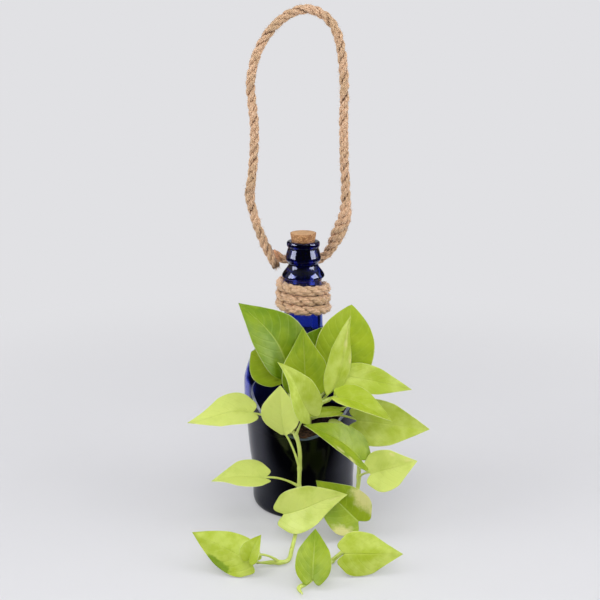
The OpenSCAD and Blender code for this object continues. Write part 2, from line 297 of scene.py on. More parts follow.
def newGroup(name, inputs, outputs):
    group = bpy.data.node_groups.new(name, "ShaderNodeTree")
    for label, kind, value in inputs:
        socket = group.interface.new_socket(label, in_out="INPUT", socket_type=kind)
        socket.default_value = value
    for label, kind in outputs:
        group.interface.new_socket(label, in_out="OUTPUT", socket_type=kind)
    return group, group.nodes.new("NodeGroupInput").outputs, group.nodes.new("NodeGroupOutput").inputs


def useGroup(tree, group, **values):
    node = tree.nodes.new("ShaderNodeGroup")
    node.node_tree = group
    for label, value in values.items():
        plug(tree, value, node.inputs[label])
    return node.outputs


# mottled colour: two tones mixed by noise in the space of the piece
mottle, mottleIn, mottleOut = newGroup("mottle", [
    ("Light", "NodeSocketColor", (0.8, 0.8, 0.8, 1)), ("Dark", "NodeSocketColor", (0.2, 0.2, 0.2, 1)),
    ("Scale", "NodeSocketFloat", 100.0), ("Spread", "NodeSocketFloat", 0.2)],
    [("Colour", "NodeSocketColor"), ("Mask", "NodeSocketFloat")])
mottleNoise = noiseValue(mottle, coordinates(mottle), mottleIn["Scale"], 4, 0.6)
mottleMask = fade(mottle, mottleNoise, minus(mottle, 0.5, mottleIn["Spread"]),
                  plus(mottle, 0.5, mottleIn["Spread"]))
plug(mottle, mixColours(mottle, mottleMask, mottleIn["Dark"], mottleIn["Light"]), mottleOut["Colour"])
plug(mottle, mottleMask, mottleOut["Mask"])

# fine relief: a bump made of noise in the space of the piece
relief, reliefIn, reliefOut = newGroup("relief", [
    ("Scale", "NodeSocketFloat", 800.0), ("Strength", "NodeSocketFloat", 0.3),
    ("Depth", "NodeSocketFloat", 0.0002)], [("Normal", "NodeSocketVector")])
addBump(relief, noiseValue(relief, coordinates(relief), reliefIn["Scale"], 4, 0.6),
        reliefIn["Strength"], reliefIn["Depth"], reliefOut["Normal"])


def mottled(tree, light, dark, scale, spread):
    return useGroup(tree, mottle, Light=tone(*light), Dark=tone(*dark), Scale=scale, Spread=spread)


def addRelief(tree, shader, scale, strength, depth):
    grain = useGroup(tree, relief, Scale=scale, Strength=strength, Depth=depth * mm)
    plug(tree, grain["Normal"], shader.inputs["Normal"])


print("helpers and shared effects ready")


# camera, as the photograph was taken
cameraView = {"place": (-0.0026, -0.8487, 0.4012), "downTilt": 15, "lens": 65.4, "sensor": 36}

clearSelection()
bpy.ops.object.camera_add(location=cameraView["place"],
                          rotation=(math.radians(90 - cameraView["downTilt"]), 0, 0))
camera = bpy.context.object
camera.name = "photoCamera"
camera.data.lens = cameraView["lens"]
camera.data.sensor_width = cameraView["sensor"]
camera.data.clip_start = 0.01
bpy.context.scene.camera = camera
print("camera placed")


# jute rope
rope = {
    "diameter": 6.8, "strands": 3, "lay": 23,      # lay: one turn of a strand, mm
    "yarns": 3, "yarnLay": 15, "ringStep": 1.25, "sides": 7, "uneven": 0.22,
    "strandShare": 0.545, "yarnShare": 0.59, "swell": 7.8,      # swell: across the fluffy outside, mm
    # the groove tone serves both the dark flecks and the shade painted into the grooves
    "light": (240, 204, 170), "body": (196, 154, 118), "fleckAndGrooveShade": (122, 84, 56), "olive": (176, 150, 108),
    "cutEnd": (84, 60, 38), "glue": (232, 160, 110), "fibre": (222, 192, 158),
    "darkEnd": 9, "amberEnd": 16,      # how far the stains reach from the two ends of the loop, mm
}
# loose fibres: sizes in mm, how many, and the seeds that scatter them
fluff = {"short": 0.9, "long": 2.6, "thick": 0.07, "tuftThick": 0.15, "droop": 0.8,
         "onLoop": 2600, "onNeck": 2200, "loopSeed": 11, "neckSeed": 23}

# route and thickness share, mm: cut end on the left, up, over, down on the right, behind the waist
loopRoute = [
    (-21.5, 8, 199, 1), (-25.5, 8, 207, 1), (-30, 8, 216, 1.1), (-34, 7, 226, 1), (-37.5, 6, 236, 1),
    (-41.5, 4, 252, 1), (-42, 2, 262, 1.05), (-40.5, 1, 272, 1), (-39, 0, 286, 1), (-38, 0, 300, 1),
    (-38, 0, 316, 1), (-39.5, 0, 330, 1), (-40.5, 0, 342, 1), (-39.5, 0, 353, 1), (-36, 0, 366, 1),
    (-30, 0, 378, 1), (-22, 0, 388, 1), (-12, 0, 396, 1), (-1.5, 0, 400, 1), (8, 0, 399.5, 1),
    (17, 0, 394.5, 1), (24, 0, 386, 1), (28, 0, 374, 1), (30.5, 0, 356, 1), (31.5, 0, 338, 1),
    (31, 0, 320, 1), (31.5, 0, 302, 1), (32, 1, 286, 1), (33, 2, 270, 1), (33.5, 4, 254, 1.15),
    (33, 7, 241, 1.5), (29.5, 10, 230, 1.45), (25, 13, 219, 1.2), (20.5, 15, 210.5, 1),
    (16, 15.7, 205.5, 1), (10, 15.7, 203.5, 1), (0, 15.7, 203.5, 1), (-10, 15.7, 203.5, 1),
    (-16, 16, 204, 1), (-21, 17, 206.5, 0.95), (-25, 17.5, 210, 0.9)]


def helixLine(frames, radii, lay, start):
    # a line that winds round another one, a little loosely; lay is one turn of it, mm
    line, walked = [], 0
    for i, (point, _, side, third) in enumerate(frames):
        if i:
            walked += (point - frames[i - 1][0]).length
        loose = 0.7 * noise.noise(Vector((walked * 45, start * 3.1, 7.7)))
        turn = 2 * math.pi * (walked / (lay * mm) + start) + loose
        line.append(point + spoke(side, third, turn) * radii[i])
    return line


def layYarn(mesh, layers, centreLine, line, radii, stains, number, half):
    # a round yarn; the map runs round it and along it in cm, proud says how far out it lies
    uvLayer, stain, proud = layers
    frames = framesAlong(line, (0.2, 1, 0.1))
    rings, walked, places = [], 0, []
    for i, (point, _, side, third) in enumerate(frames):
        if i:
            walked += (point - frames[i - 1][0]).length
        places.append(walked)
        fromEnd = min(i, len(frames) - 1 - i)
        taper = (0.5, 0.85)[fromEnd] if fromEnd < 2 else 1
        ring = []
        for k in range(rope["sides"]):
            angle = 2 * math.pi * k / rope["sides"]
            c, s = math.cos(angle), math.sin(angle)
            lump = 1 + rope["uneven"] * noise.noise(Vector((walked * 380, c * 1.2, s * 1.2 + number * 5)))
            vert = mesh.verts.new(point + (side * c + third * s) * radii[i] * taper * lump)
            vert[stain] = stains[i]
            vert[proud] = (vert.co - centreLine[i]).length / half
            ring.append(vert)
        rings.append(ring)
    for i in range(len(rings) - 1):
        for k in range(rope["sides"]):
            a, b = k, (k + 1) % rope["sides"]
            face = mesh.faces.new((rings[i][a], rings[i][b], rings[i + 1][b], rings[i + 1][a]))
            for loop, u, v in zip(face.loops, (k, k + 1, k + 1, k), (i, i, i + 1, i + 1)):
                loop[uvLayer].uv = (u / rope["sides"], places[v] * 100 + number * 3.7)
    for ring, end, turned in ((rings[0], 0, True), (rings[-1], -1, False)):
        tip = mesh.verts.new(sum((v.co for v in ring), Vector()) / len(ring))
        tip[stain] = stains[end]
        for k in range(len(ring)):
            a, b = ring[k], ring[(k + 1) % len(ring)]
            face = mesh.faces.new((b, a, tip) if turned else (a, b, tip))
            for loop in face.loops:
                loop[uvLayer].uv = (0.5, places[end] * 100)


def layRope(name, line, shares, stains, start, diameter, strandShare):
    # strands wound round the line, and yarns wound the other way round each strand; shares are the thickness
    # along the line, and the larger the strand share, the rounder the rope
    mesh = bmesh.new()
    layers = (mesh.loops.layers.uv.new("yarnMap"), mesh.verts.layers.float.new("stain"),
              mesh.verts.layers.float.new("proud"))
    half = diameter / 2 * mm
    strandR = half * strandShare
    yarnR = strandR * rope["yarnShare"]
    frames = framesAlong(line, start)
    for number in range(rope["strands"]):
        reach = [(half - strandR) * s for s in shares]
        strand = helixLine(frames, reach, rope["lay"], number / rope["strands"])
        strandFrames = framesAlong(strand, start)
        for k in range(rope["yarns"]):
            yarn = helixLine(strandFrames, [(strandR - yarnR) * (0.4 + 0.6 * s) for s in shares],
                             -rope["yarnLay"], k / rope["yarns"] + number * 0.11)
            layYarn(mesh, layers, line, yarn, [yarnR * (0.45 + 0.55 * s) for s in shares], stains,
                    number * rope["yarns"] + k, half)
    piece = pieceFrom(mesh, name)
    pick(piece)
    bpy.ops.object.shade_smooth()
    return piece


def addFibre(mesh, root, ahead, length, thick, droop):
    # one loose fibre: a thin bent sliver with three sides
    side = ahead.orthogonal().normalized()
    third = ahead.cross(side)
    rings = []
    for j in range(4):
        t = j / 3
        centre = root + ahead * length * t + droop * t * t
        size = thick * (1 - 0.75 * t)
        rings.append([mesh.verts.new(centre + spoke(side, third, angle) * size)
                      for angle in (0, 2.094, 4.189)])   # a third of a turn apart
    for a, b in zip(rings, rings[1:]):
        for k in range(3):
            mesh.faces.new((a[k], a[(k + 1) % 3], b[(k + 1) % 3], b[k]))
    mesh.faces.new(rings[0][::-1])
    mesh.faces.new(rings[-1])


def fuzz(name, line, shares, count, tufts, seed):
    # loose fibres along a rope, and tufts of them at (place on the line, how many, direction, length)
    rng = random.Random(seed)
    mesh = bmesh.new()
    frames = framesAlong(line, (0.3, 1, 0.2))
    half = rope["diameter"] / 2 * mm
    for _ in range(count):
        i = rng.randrange(2, len(frames) - 2)
        point, ahead, side, third = frames[i]
        out = spoke(side, third, rng.uniform(0, 2 * math.pi))
        leaning = (out * rng.uniform(0.35, 1) + ahead * rng.uniform(-1, 1)).normalized()
        droop = Vector((rng.uniform(-1, 1), rng.uniform(-1, 1), rng.uniform(-1, 1))) * fluff["droop"] * mm
        addFibre(mesh, point + out * half * shares[i] * 0.82, leaning,
                 rng.uniform(fluff["short"], fluff["long"]) * mm, fluff["thick"] * mm, droop)
    for place, many, way, reach in tufts:
        point, ahead, side, third = frames[min(int(place * len(frames)), len(frames) - 1)]
        for _ in range(many):
            out = spoke(side, third, rng.uniform(0, 2 * math.pi))
            leaning = (Vector(way).normalized() + out * rng.uniform(0, 0.45)).normalized()
            droop = out * rng.uniform(0, 1.2) * mm
            addFibre(mesh, point + out * half * rng.uniform(0.1, 0.8), leaning,
                     rng.uniform(0.5, 1) * reach * mm, fluff["tuftThick"] * mm, droop)
    return pieceFrom(mesh, name)


def juteMaterial():
    # fibres run along each yarn, dark flecks are scattered over it, and painted shade darkens the grooves
    # between the yarns
    material, tree, shader = newMaterial("juteRope")
    around, along, _ = split(tree, coordinates(tree, "UV"))
    streakMap = tree.nodes.new("ShaderNodeCombineXYZ")
    plug(tree, times(tree, plus(tree, around, times(tree, along, 0.35)), 5.0), streakMap.inputs[0])
    plug(tree, times(tree, along, 1.8), streakMap.inputs[1])
    streak = noiseValue(tree, streakMap.outputs[0], 2.4, 6, 0.7)
    body = mixColours(tree, fade(tree, streak, 0.38, 0.62), tone(*rope["body"]), tone(*rope["light"]))
    patch = mottled(tree, rope["body"], rope["olive"], 60.0, 0.12)
    body = mixColours(tree, times(tree, minus(tree, 1.0, patch["Mask"]), 0.4), body, patch["Colour"])
    speck = fade(tree, noiseValue(tree, coordinates(tree), 620.0, 3), 0.6, 0.72)
    # dark flecks in the fibres' own colour
    body = paintOver(tree, body, speck, 0.45, rope["fleckAndGrooveShade"])
    # painted shade: the deeper a yarn lies below the outside of the rope, the more of the dark groove tone it
    # gets
    body = mixColours(tree, fade(tree, storedValue(tree, "proud"), 0.44, 0.84), tone(*rope["fleckAndGrooveShade"]), body)
    stain = storedValue(tree, "stain")
    amber = fade(tree, stain, 0.1, 1.0)
    body = paintOver(tree, body, fade(tree, stain, -0.1, -1.0), 0.75, rope["cutEnd"])
    body = paintOver(tree, body, amber, 0.6, rope["glue"])
    plug(tree, body, shader.inputs["Base Color"])
    plug(tree, fade(tree, amber, 0.0, 1.0, 0.92, 0.5), shader.inputs["Roughness"])
    setInputs(shader, {"Specular IOR Level": 0.25, "Sheen Weight": 0.3, "Sheen Roughness": 0.5})
    addBump(tree, streak, 0.8, 0.3 * mm, shader.inputs["Normal"])
    return material


def fibreMaterial():
    material, tree, shader = newMaterial("juteFibre")
    plug(tree, mottled(tree, rope["fibre"], rope["body"], 300.0, 0.2)["Colour"], shader.inputs["Base Color"])
    setInputs(shader, {"Roughness": 0.8})
    return material


juteRope = juteMaterial()
juteFibre = fibreMaterial()

loopCurve = [Vector(p[:3]) * mm for p in smoothLine([q[:3] for q in loopRoute], 8)]
loopLine, loopLength = evenLine(loopCurve, rope["ringStep"] * mm)
legs = [0]
for a, b in zip(loopRoute, loopRoute[1:]):
    legs.append(legs[-1] + (Vector(b[:3]) - Vector(a[:3])).length)
shareTable = [(leg / legs[-1], point[3]) for leg, point in zip(legs, loopRoute)]
loopShares = [between(shareTable, i / (len(loopLine) - 1)) for i in range(len(loopLine))]
# where the strands have come loose: place and reach, mm, and how much thicker
loopSwellings = [(66, 7, 0.16), (420, 16, 0.3)]
# dark marks: place and reach, mm, and how deep the tone
loopMarks = [(68, 5, 0.6), (150, 3, 0.5), (212, 4, 0.25), (357, 3, 0.55), (405, 9, 0.35), (432, 6, 0.3)]
loopStains = []
for i in range(len(loopLine)):
    place = i / (len(loopLine) - 1) * loopLength / mm
    fromEnd = loopLength / mm - place
    marks = sum(deep * max(0, 1 - abs(place - at) / reach) for at, reach, deep in loopMarks)
    if place < rope["darkEnd"]:
        loopStains.append(-1 + place / rope["darkEnd"])
    else:
        loopStains.append(max(0, 1 - fromEnd / rope["amberEnd"]) - marks)
    loose = sum(more * math.exp(-((place - at) / reach) ** 2) for at, reach, more in loopSwellings)
    loopShares[i] *= 1 + loose
ropeLoop = layRope("ropeLoop", loopLine, loopShares, loopStains, (0, 1, 0), rope["swell"],
                  rope["strandShare"])
ropeLoop.data.materials.append(juteRope)
loopTufts = [
    (0.0, 26, (0.35, -0.1, -0.9), 3.2), (0.136, 14, (-0.9, -0.3, -0.5), 3.6),
    (0.15, 8, (0.8, -0.2, -0.6), 3.2), (0.31, 5, (1, -0.3, -0.3), 2.6),
    (0.735, 6, (-1, -0.3, 0.2), 2.8), (0.88, 16, (0.5, -0.5, 0.8), 3.4),
    (0.9, 12, (0.7, -0.4, -0.4), 3), (0.995, 10, (-0.6, 0.1, 0.8), 2.2)]
loopFuzz = fuzz("loopFuzz", loopLine, [1.13 * share for share in loopShares], fluff["onLoop"], loopTufts,
                fluff["loopSeed"])
loopFuzz.data.materials.append(juteFibre)
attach(ropeLoop, "loop")
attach(loopFuzz, "loop")
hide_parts("hanging_loop")
print("rope loop laid,", round(loopLength, 4), "m")

# turns round the neck, winding down; the neck narrows from lowD at lowZ to highD at highZ, mm
neckRope = {"turns": 3, "top": 189.7, "pitch": 7.8, "gap": 0.1, "flare": 2.5, "tail": 6, "swell": 8.7,
            "strandShare": 0.6, "steps": 48, "ringStep": 1.2,
            "lowD": 31.6, "lowZ": 153.95, "highD": 29, "highZ": 188}


def neckRadius(height):
    narrower = (neckRope["highD"] - neckRope["lowD"]) * (height - neckRope["lowZ"])
    return (neckRope["lowD"] + narrower / (neckRope["highZ"] - neckRope["lowZ"])) / 2


def runOn(end, before):
    # a point straight on from an end of the rope
    return end + (end - before).normalized() * neckRope["tail"] * mm


neckPoints = []
for k in range(neckRope["turns"] * neckRope["steps"] + 1):
    turn = k / neckRope["steps"]
    height = neckRope["top"] - neckRope["pitch"] * turn
    radius = neckRadius(height) + neckRope["gap"] + rope["diameter"] / 2
    radius += neckRope["flare"] * max(0, 0.4 - 2 * turn)
    angle = 2 * math.pi * turn
    neckPoints.append(Vector((-radius * math.sin(angle), radius * math.cos(angle), height)) * mm)
neckPoints = [runOn(neckPoints[0], neckPoints[1])] + neckPoints + [runOn(neckPoints[-1], neckPoints[-2])]
neckLine = evenLine(neckPoints, neckRope["ringStep"] * mm)[0]
neckStains = []
for i in range(len(neckLine)):
    fromEnd = min(i, len(neckLine) - 1 - i)
    neckStains.append(-1 + fromEnd / 4 if fromEnd < 4 else 0)
neckWinding = layRope("neckWinding", neckLine, [1] * len(neckLine), neckStains, (0, 0, 1), neckRope["swell"],
                      neckRope["strandShare"])
neckWinding.data.materials.append(juteRope)
neckTufts = [(0.0, 12, (1, 0.2, -0.2), 2.4), (0.999, 12, (-1, 0.2, -0.2), 2.4)]
neckFuzz = fuzz("neckFuzz", neckLine, [1.2] * len(neckLine), fluff["onNeck"], neckTufts, fluff["neckSeed"])
neckFuzz.data.materials.append(juteFibre)
for piece in (neckWinding, neckFuzz):
    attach(piece, "planter")
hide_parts("neck_winding")
print("neck rope laid")


# cork
# face is a paler tone painted on the top as light falling from above
cork = {"top": 229.1, "length": 26, "topR": 10.4, "lowR": 6.28, "edge": 0.35, "rings": 40,
        "insets": (0.35, 0.6, 1.2, 1.8, 2.0), "pitSize": 0.9, "pitDepth": 0.22, "grainScale": 1050,
        "light": (224, 172, 118), "dark": (150, 98, 56), "grain": (84, 50, 28), "face": (218, 178, 134)}

clearSelection()
bpy.ops.mesh.primitive_cone_add(vertices=96, radius1=cork["lowR"] * mm, radius2=cork["topR"] * mm,
                                depth=cork["length"] * mm, end_fill_type="NGON",
                                location=(0, 0, (cork["top"] - cork["length"] / 2) * mm))
stopper = bpy.context.object
bpy.ops.object.mode_set(mode="EDIT")
bpy.ops.mesh.select_mode(type="FACE")
for endNormal in (1, -1):
    bpy.ops.mesh.select_all(action="DESELECT")
    body = bmesh.from_edit_mesh(stopper.data)
    for face in body.faces:
        face.select_set(face.normal.z * endNormal > 0.9)
    bmesh.update_edit_mesh(stopper.data)
    for inset in cork["insets"]:
        bpy.ops.mesh.inset(thickness=inset * mm)
    bpy.ops.mesh.poke()


def isRim(edge):
    sides = [face.normal.z for face in edge.link_faces]
    return len(sides) == 2 and abs(abs(sides[0]) - abs(sides[1])) > 0.5


selectEdges(stopper, lambda edge: False)
selectEdges(stopper, isRim)
bpy.ops.mesh.bevel(offset=cork["edge"] * mm, segments=3, affect="EDGES")
# rings along the side, for the pits
selectEdges(stopper, lambda edge: abs(edge.verts[0].co.z - edge.verts[1].co.z) > 20 * mm)
bpy.ops.mesh.subdivide(number_cuts=cork["rings"])
bpy.ops.object.mode_set(mode="OBJECT")
pits = bpy.data.textures.new("corkPits", "CLOUDS")
pits.noise_scale = cork["pitSize"] * mm
pitting = stopper.modifiers.new("pits", "DISPLACE")
pitting.texture = pits
pitting.strength = cork["pitDepth"] * mm
pitting.mid_level = 0.62
applyModifiers(stopper)
bpy.ops.object.shade_smooth()
settle(stopper, "corkStopper")


def corkMaterial():
    # pressed cork: grains of many tones with dark seams and pits, and a top painted paler as if lit from
    # above
    material, tree, shader = newMaterial("pressedCork")
    place = coordinates(tree)
    cells = []
    for feature in ("F1", "DISTANCE_TO_EDGE"):
        pattern = tree.nodes.new("ShaderNodeTexVoronoi")
        pattern.feature = feature
        plug(tree, place, pattern.inputs["Vector"])
        pattern.inputs["Scale"].default_value = cork["grainScale"]
        cells.append(pattern.outputs)
    grains, seams = cells
    colour = mixColours(tree, split(tree, grains["Color"])[0], tone(*cork["dark"]), tone(*cork["light"]))
    seam = fade(tree, seams["Distance"], 0.0, 0.09, 1.0, 0.0)
    colour = paintOver(tree, colour, seam, 0.55, cork["grain"])
    speck = fade(tree, noiseValue(tree, place, 1300.0, 2), 0.58, 0.68)
    colour = paintOver(tree, colour, speck, 0.7, cork["grain"])
    # painted light: faces that look up get the paler face tone
    paintedTopLight = fade(tree, split(tree, coordinates(tree, "Normal"))[2], 0.6, 0.95)
    colour = paintOver(tree, colour, paintedTopLight, 0.5, cork["face"])
    plug(tree, colour, shader.inputs["Base Color"])
    plug(tree, fade(tree, seam, 0.0, 1.0, 0.75, 0.95), shader.inputs["Roughness"])
    setInputs(shader, {"Specular IOR Level": 0.3})
    addRelief(tree, shader, 900.0, 0.5, 0.25)
    return material


stopper.data.materials.append(corkMaterial())
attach(stopper, "cork")
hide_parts("cork")
print("cork cut")


# glass bottle
bottle = {
    "bodyR": 48.5, "shoulder": 150, "wall": 3.5, "floorTop": 8, "sides": 160,
    # outline of the body, as shares of its radius and of the shoulder height
    "body": [(0.868, 0.047), (0.868, 0.16), (0.884, 0.235), (0.912, 0.305), (0.934, 0.375), (0.951, 0.445),
             (0.972, 0.52), (0.992, 0.6), (1, 0.675), (0.996, 0.728), (0.974, 0.762), (0.94, 0.797),
             (0.85, 0.865), (0.72, 0.908), (0.55, 0.945), (0.41, 0.975)],
    "neck": [(14.5, 188), (17, 195), (11.8, 203.5), (14.1, 208), (13.6, 212.2), (12.25, 216.8)],
    "neckFoot": [(16.7, 150), (15.8, 153.95)], "neckMiddle": (15.15, 171),
    "lip": [(12.5, 217.9), (12.95, 218.5), (13.2, 219.3), (13.2, 220.9), (12.95, 221.8), (12.3, 222.35),
            (11.4, 222.5), (9.9, 222.5), (9.5, 222.1)],
    "throat": [(9.5, 200.5), (11, 188)],
    "footRound": 3.5, "footHollow": 3.0,
    "windowW": 84, "windowH": 69, "windowZ": 105, "flare": 18, "fullness": 1.6,
    # the deep glass is painted shade for the body, and the side glass is painted backlight for its flanks
    "cobalt": (84, 106, 196), "backlitFlankGlass": (58, 72, 196), "shadedBodyGlass": (8, 10, 34),
    "mouthGlass": (13, 17, 112), "gleam": (0.7, 0.74, 1, 1), "dullness": 0.13,
    "ground": (244, 244, 255), "grindMark": (150, 156, 214), "sill": (84, 100, 116),
}


def glassSection():
    # closed half section of the glass, from the axis under the foot to the axis on the floor
    ringR = bottle["body"][0][0] * bottle["bodyR"] - bottle["footRound"]
    outline = [(0.0, bottle["footHollow"]), (ringR / 2, 2.7), (ringR - 8, 1.5), (ringR - 6, 0.6),
               (ringR - 5, 0.0)]
    for degrees in range(0, 80, 12):
        a = math.radians(degrees)
        rise = 2 * bottle["footRound"] * (1 - math.cos(a))
        outline.append((ringR + bottle["footRound"] * math.sin(a), rise))
    shape = [(s * bottle["bodyR"], h * bottle["shoulder"]) for s, h in bottle["body"]] + bottle["neckFoot"]
    wallLine = smoothLine([(r, z, 0) for r, z in shape], 6)
    outline += [(r, z) for r, z, _ in wallLine]
    neckCurve = smoothLine([(r, z, 0) for r, z in bottle["neckFoot"][1:] + bottle["neck"]], 8)
    outline += [bottle["neckMiddle"]] + [(p[0], p[1]) for p in neckCurve[8:]]
    outline += bottle["lip"] + bottle["throat"]
    inner = []
    for i, (r, z, _) in enumerate(wallLine):
        a, b = wallLine[max(i - 1, 0)], wallLine[min(i + 1, len(wallLine) - 1)]
        slope = Vector((b[0] - a[0], b[1] - a[1])).normalized()
        if z > bottle["floorTop"] + bottle["wall"]:
            inner.append((r - bottle["wall"] * slope[1], z + bottle["wall"] * slope[0]))
    outline += inner[::-1]
    low, flat = inner[0][0], bottle["floorTop"]
    outline += [(low - 0.4, flat + 1.6), (low - 1.4, flat + 0.6), (low - 3.2, flat + 0.05)]
    outline += [(low / 2, flat), (0.0, flat)]
    return outline


section = glassSection()
clearSelection()
bpy.ops.mesh.primitive_circle_add(vertices=len(section), radius=0.01, fill_type="NOTHING")
glass = bpy.context.object
bpy.ops.object.mode_set(mode="EDIT")
body = bmesh.from_edit_mesh(glass.data)
body.verts.ensure_lookup_table()
for vert, (r, z) in zip(list(body.verts), section):
    vert.co = Vector((r, 0, z)) * mm
for edge in list(body.edges):
    if all(abs(vert.co.x) < 0.0001 * mm for vert in edge.verts):
        body.edges.remove(edge)
bmesh.update_edit_mesh(glass.data)
bpy.ops.mesh.select_all(action="SELECT")
bpy.ops.mesh.spin(steps=bottle["sides"], angle=2 * math.pi, center=(0, 0, 0), axis=(0, 0, 1))
bpy.ops.mesh.select_all(action="SELECT")
bpy.ops.mesh.remove_doubles(threshold=0.00001)
closeShape()


def glassMaterial():
    # cobalt glass: clear blue in the plain neck, deeper in the thick mouth; the body is painted nearly black
    # as shade, and its left and right flanks are painted bluer as light shining through; the places where it
    # changes are in metres
    material, tree, shader = newMaterial("cobaltGlass")
    x, _, z = split(tree, coordinates(tree))
    clouds = noiseValue(tree, coordinates(tree), 40.0, 2)
    mouth = times(tree, fade(tree, z, 0.187, 0.198), fade(tree, clouds, 0.2, 0.8, 0.85, 1.0))
    # painted backlight at the left and right flanks, over painted shade elsewhere in the body
    backlitFlank = times(tree, fade(tree, calc(tree, "ABSOLUTE", x), 0.0405, 0.0448), fade(tree, z, 0.08, 0.094))
    colour = mixColours(tree, backlitFlank, tone(*bottle["shadedBodyGlass"]), tone(*bottle["backlitFlankGlass"]))
    colour = mixColours(tree, fade(tree, z, 0.148, 0.136), tone(*bottle["cobalt"]), colour)
    plug(tree, mixColours(tree, mouth, colour, tone(*bottle["mouthGlass"])), shader.inputs["Base Color"])
    setInputs(shader, {"Transmission Weight": 1, "IOR": 1.5, "Specular Tint": bottle["gleam"]})
    smear = noiseValue(tree, coordinates(tree), 26.0, 5, 0.7)
    dull = fade(tree, z, 0.1, 0.075, 0.0, bottle["dullness"])
    plug(tree, plus(tree, fade(tree, smear, 0.45, 0.8, 0.012, 0.05), dull), shader.inputs["Roughness"])
    return material


def groundMaterial():
    # the cut edge of the window, ground dull, darker where it lies on the mix
    material, tree, shader = newMaterial("groundGlass")
    low = fade(tree, split(tree, coordinates(tree))[2], 0.086, 0.076)
    colour = mottled(tree, bottle["ground"], bottle["grindMark"], 400.0, 0.25)["Colour"]
    plug(tree, mixColours(tree, low, colour, tone(*bottle["sill"])), shader.inputs["Base Color"])
    setInputs(shader, {"Roughness": 0.35})
    addRelief(tree, shader, 1500.0, 0.3, 0.1)
    return material


glass.data.materials.append(glassMaterial())

spread = math.tan(math.radians(bottle["flare"]))
openY = bottle["bodyR"] + bottle["wall"]
halfW = bottle["windowW"] / 2 - spread * math.sqrt(bottle["bodyR"] ** 2 - bottle["windowW"] ** 2 / 4)
halfH = bottle["windowH"] / 2 - spread * bottle["bodyR"]
clearSelection()
bpy.ops.mesh.primitive_circle_add(vertices=144, radius=1, fill_type="NGON")
cutter = bpy.context.object
bpy.ops.object.mode_set(mode="EDIT")


def fuller(co):
    # from the round circle to the window's fuller oval
    c, s = (0 if abs(v) < 1e-6 else math.copysign(abs(v) ** (2 / bottle["fullness"]), v) for v in co[:2])
    return Vector((halfW * c, 0, bottle["windowZ"] + halfH * s)) * mm


moveVertices(cutter, fuller)
bpy.ops.mesh.select_all(action="SELECT")
bpy.ops.mesh.extrude_region_move(TRANSFORM_OT_translate={"value": (0, -openY * mm, 0)})
bpy.ops.transform.resize(value=(1 + spread * openY / halfW, 1, 1 + spread * openY / halfH),
                         center_override=(0, -openY * mm, bottle["windowZ"] * mm))
closeShape()
cutter.data.materials.append(groundMaterial())
window = glass.modifiers.new("window", "BOOLEAN")
window.object = cutter
window.operation = "DIFFERENCE"
window.solver = "EXACT"
window.material_mode = "TRANSFER"
applyModifiers(glass)
bpy.data.objects.remove(cutter)
pick(glass)
bpy.ops.object.shade_smooth_by_angle(angle=math.radians(35))
settle(glass, "bottleGlass")
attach(glass, "planter")
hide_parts("bottle")
print("bottle blown and its window cut,", len(glass.data.polygons), "faces")


# potting mix
mix = {"bottom": 8.3, "edge": 73, "edgeR": 44.5, "rise": 3, "gap": 0.25, "rings": 14, "ringStep": 3,
       "lumps": 1.6, "chips": 70, "chipSpread": 43, "seed": 5,
       "chipLength": (1.6, 4.5), "chipWidth": (1.2, 3), "chipHeight": (0.8, 1.8),
       "dark": (34, 22, 15), "light": (92, 62, 40), "chip": (120, 84, 54)}

insideWall = []
bodyShape = [(s * bottle["bodyR"], h * bottle["shoulder"], 0) for s, h in bottle["body"]]
for r, z, _ in smoothLine(bodyShape, 3):
    if 12 < z < mix["edge"] - 2:
        insideWall.append((r - bottle["wall"] - mix["gap"], z))
wasR, wasZ = insideWall[0][0] - 4, mix["bottom"]
clearSelection()
bpy.ops.mesh.primitive_circle_add(vertices=96, radius=wasR * mm, fill_type="NGON", location=(0, 0, wasZ * mm))
soil = bpy.context.object
bpy.ops.object.mode_set(mode="EDIT")
bpy.ops.mesh.select_mode(type="FACE")
bpy.ops.mesh.select_all(action="SELECT")
for r, z in insideWall + [(mix["edgeR"], mix["edge"] - 0.6)]:
    bpy.ops.mesh.extrude_region_move(TRANSFORM_OT_translate={"value": (0, 0, (z - wasZ) * mm)})
    bpy.ops.transform.resize(value=(r / wasR, r / wasR, 1), center_override=(0, 0, z * mm))
    wasR, wasZ = r, z
for _ in range(mix["rings"]):
    bpy.ops.mesh.inset(thickness=mix["ringStep"] * mm)
bpy.ops.mesh.poke()
body = bmesh.from_edit_mesh(soil.data)   # the loose top
for vert in body.verts:
    out = math.hypot(vert.co.x, vert.co.y) / (mix["edgeR"] * mm)
    if vert.co.z > (mix["edge"] - 1) * mm:
        lump = noise.noise(vert.co * 160) * 1.5 + noise.noise(vert.co * 420) * 0.8
        vert.co.z += (mix["rise"] * (1 - out * out) + (lump * mix["lumps"] if out < 0.97 else 0)) * mm
bmesh.update_edit_mesh(soil.data)
closeShape()
bpy.ops.object.shade_smooth()
settle(soil, "mixBody")


def mixMaterial():
    material, tree, shader = newMaterial("pottingMix")
    coir = fade(tree, noiseValue(tree, coordinates(tree), 120.0, 4), 0.55, 0.7, 0.0, 0.5)
    ground = mottled(tree, mix["light"], mix["dark"], 330.0, 0.16)["Colour"]
    plug(tree, mixColours(tree, coir, ground, tone(*mix["chip"])), shader.inputs["Base Color"])
    setInputs(shader, {"Roughness": 0.95, "Specular IOR Level": 0.2})
    addRelief(tree, shader, 420.0, 0.9, 0.8)
    return material


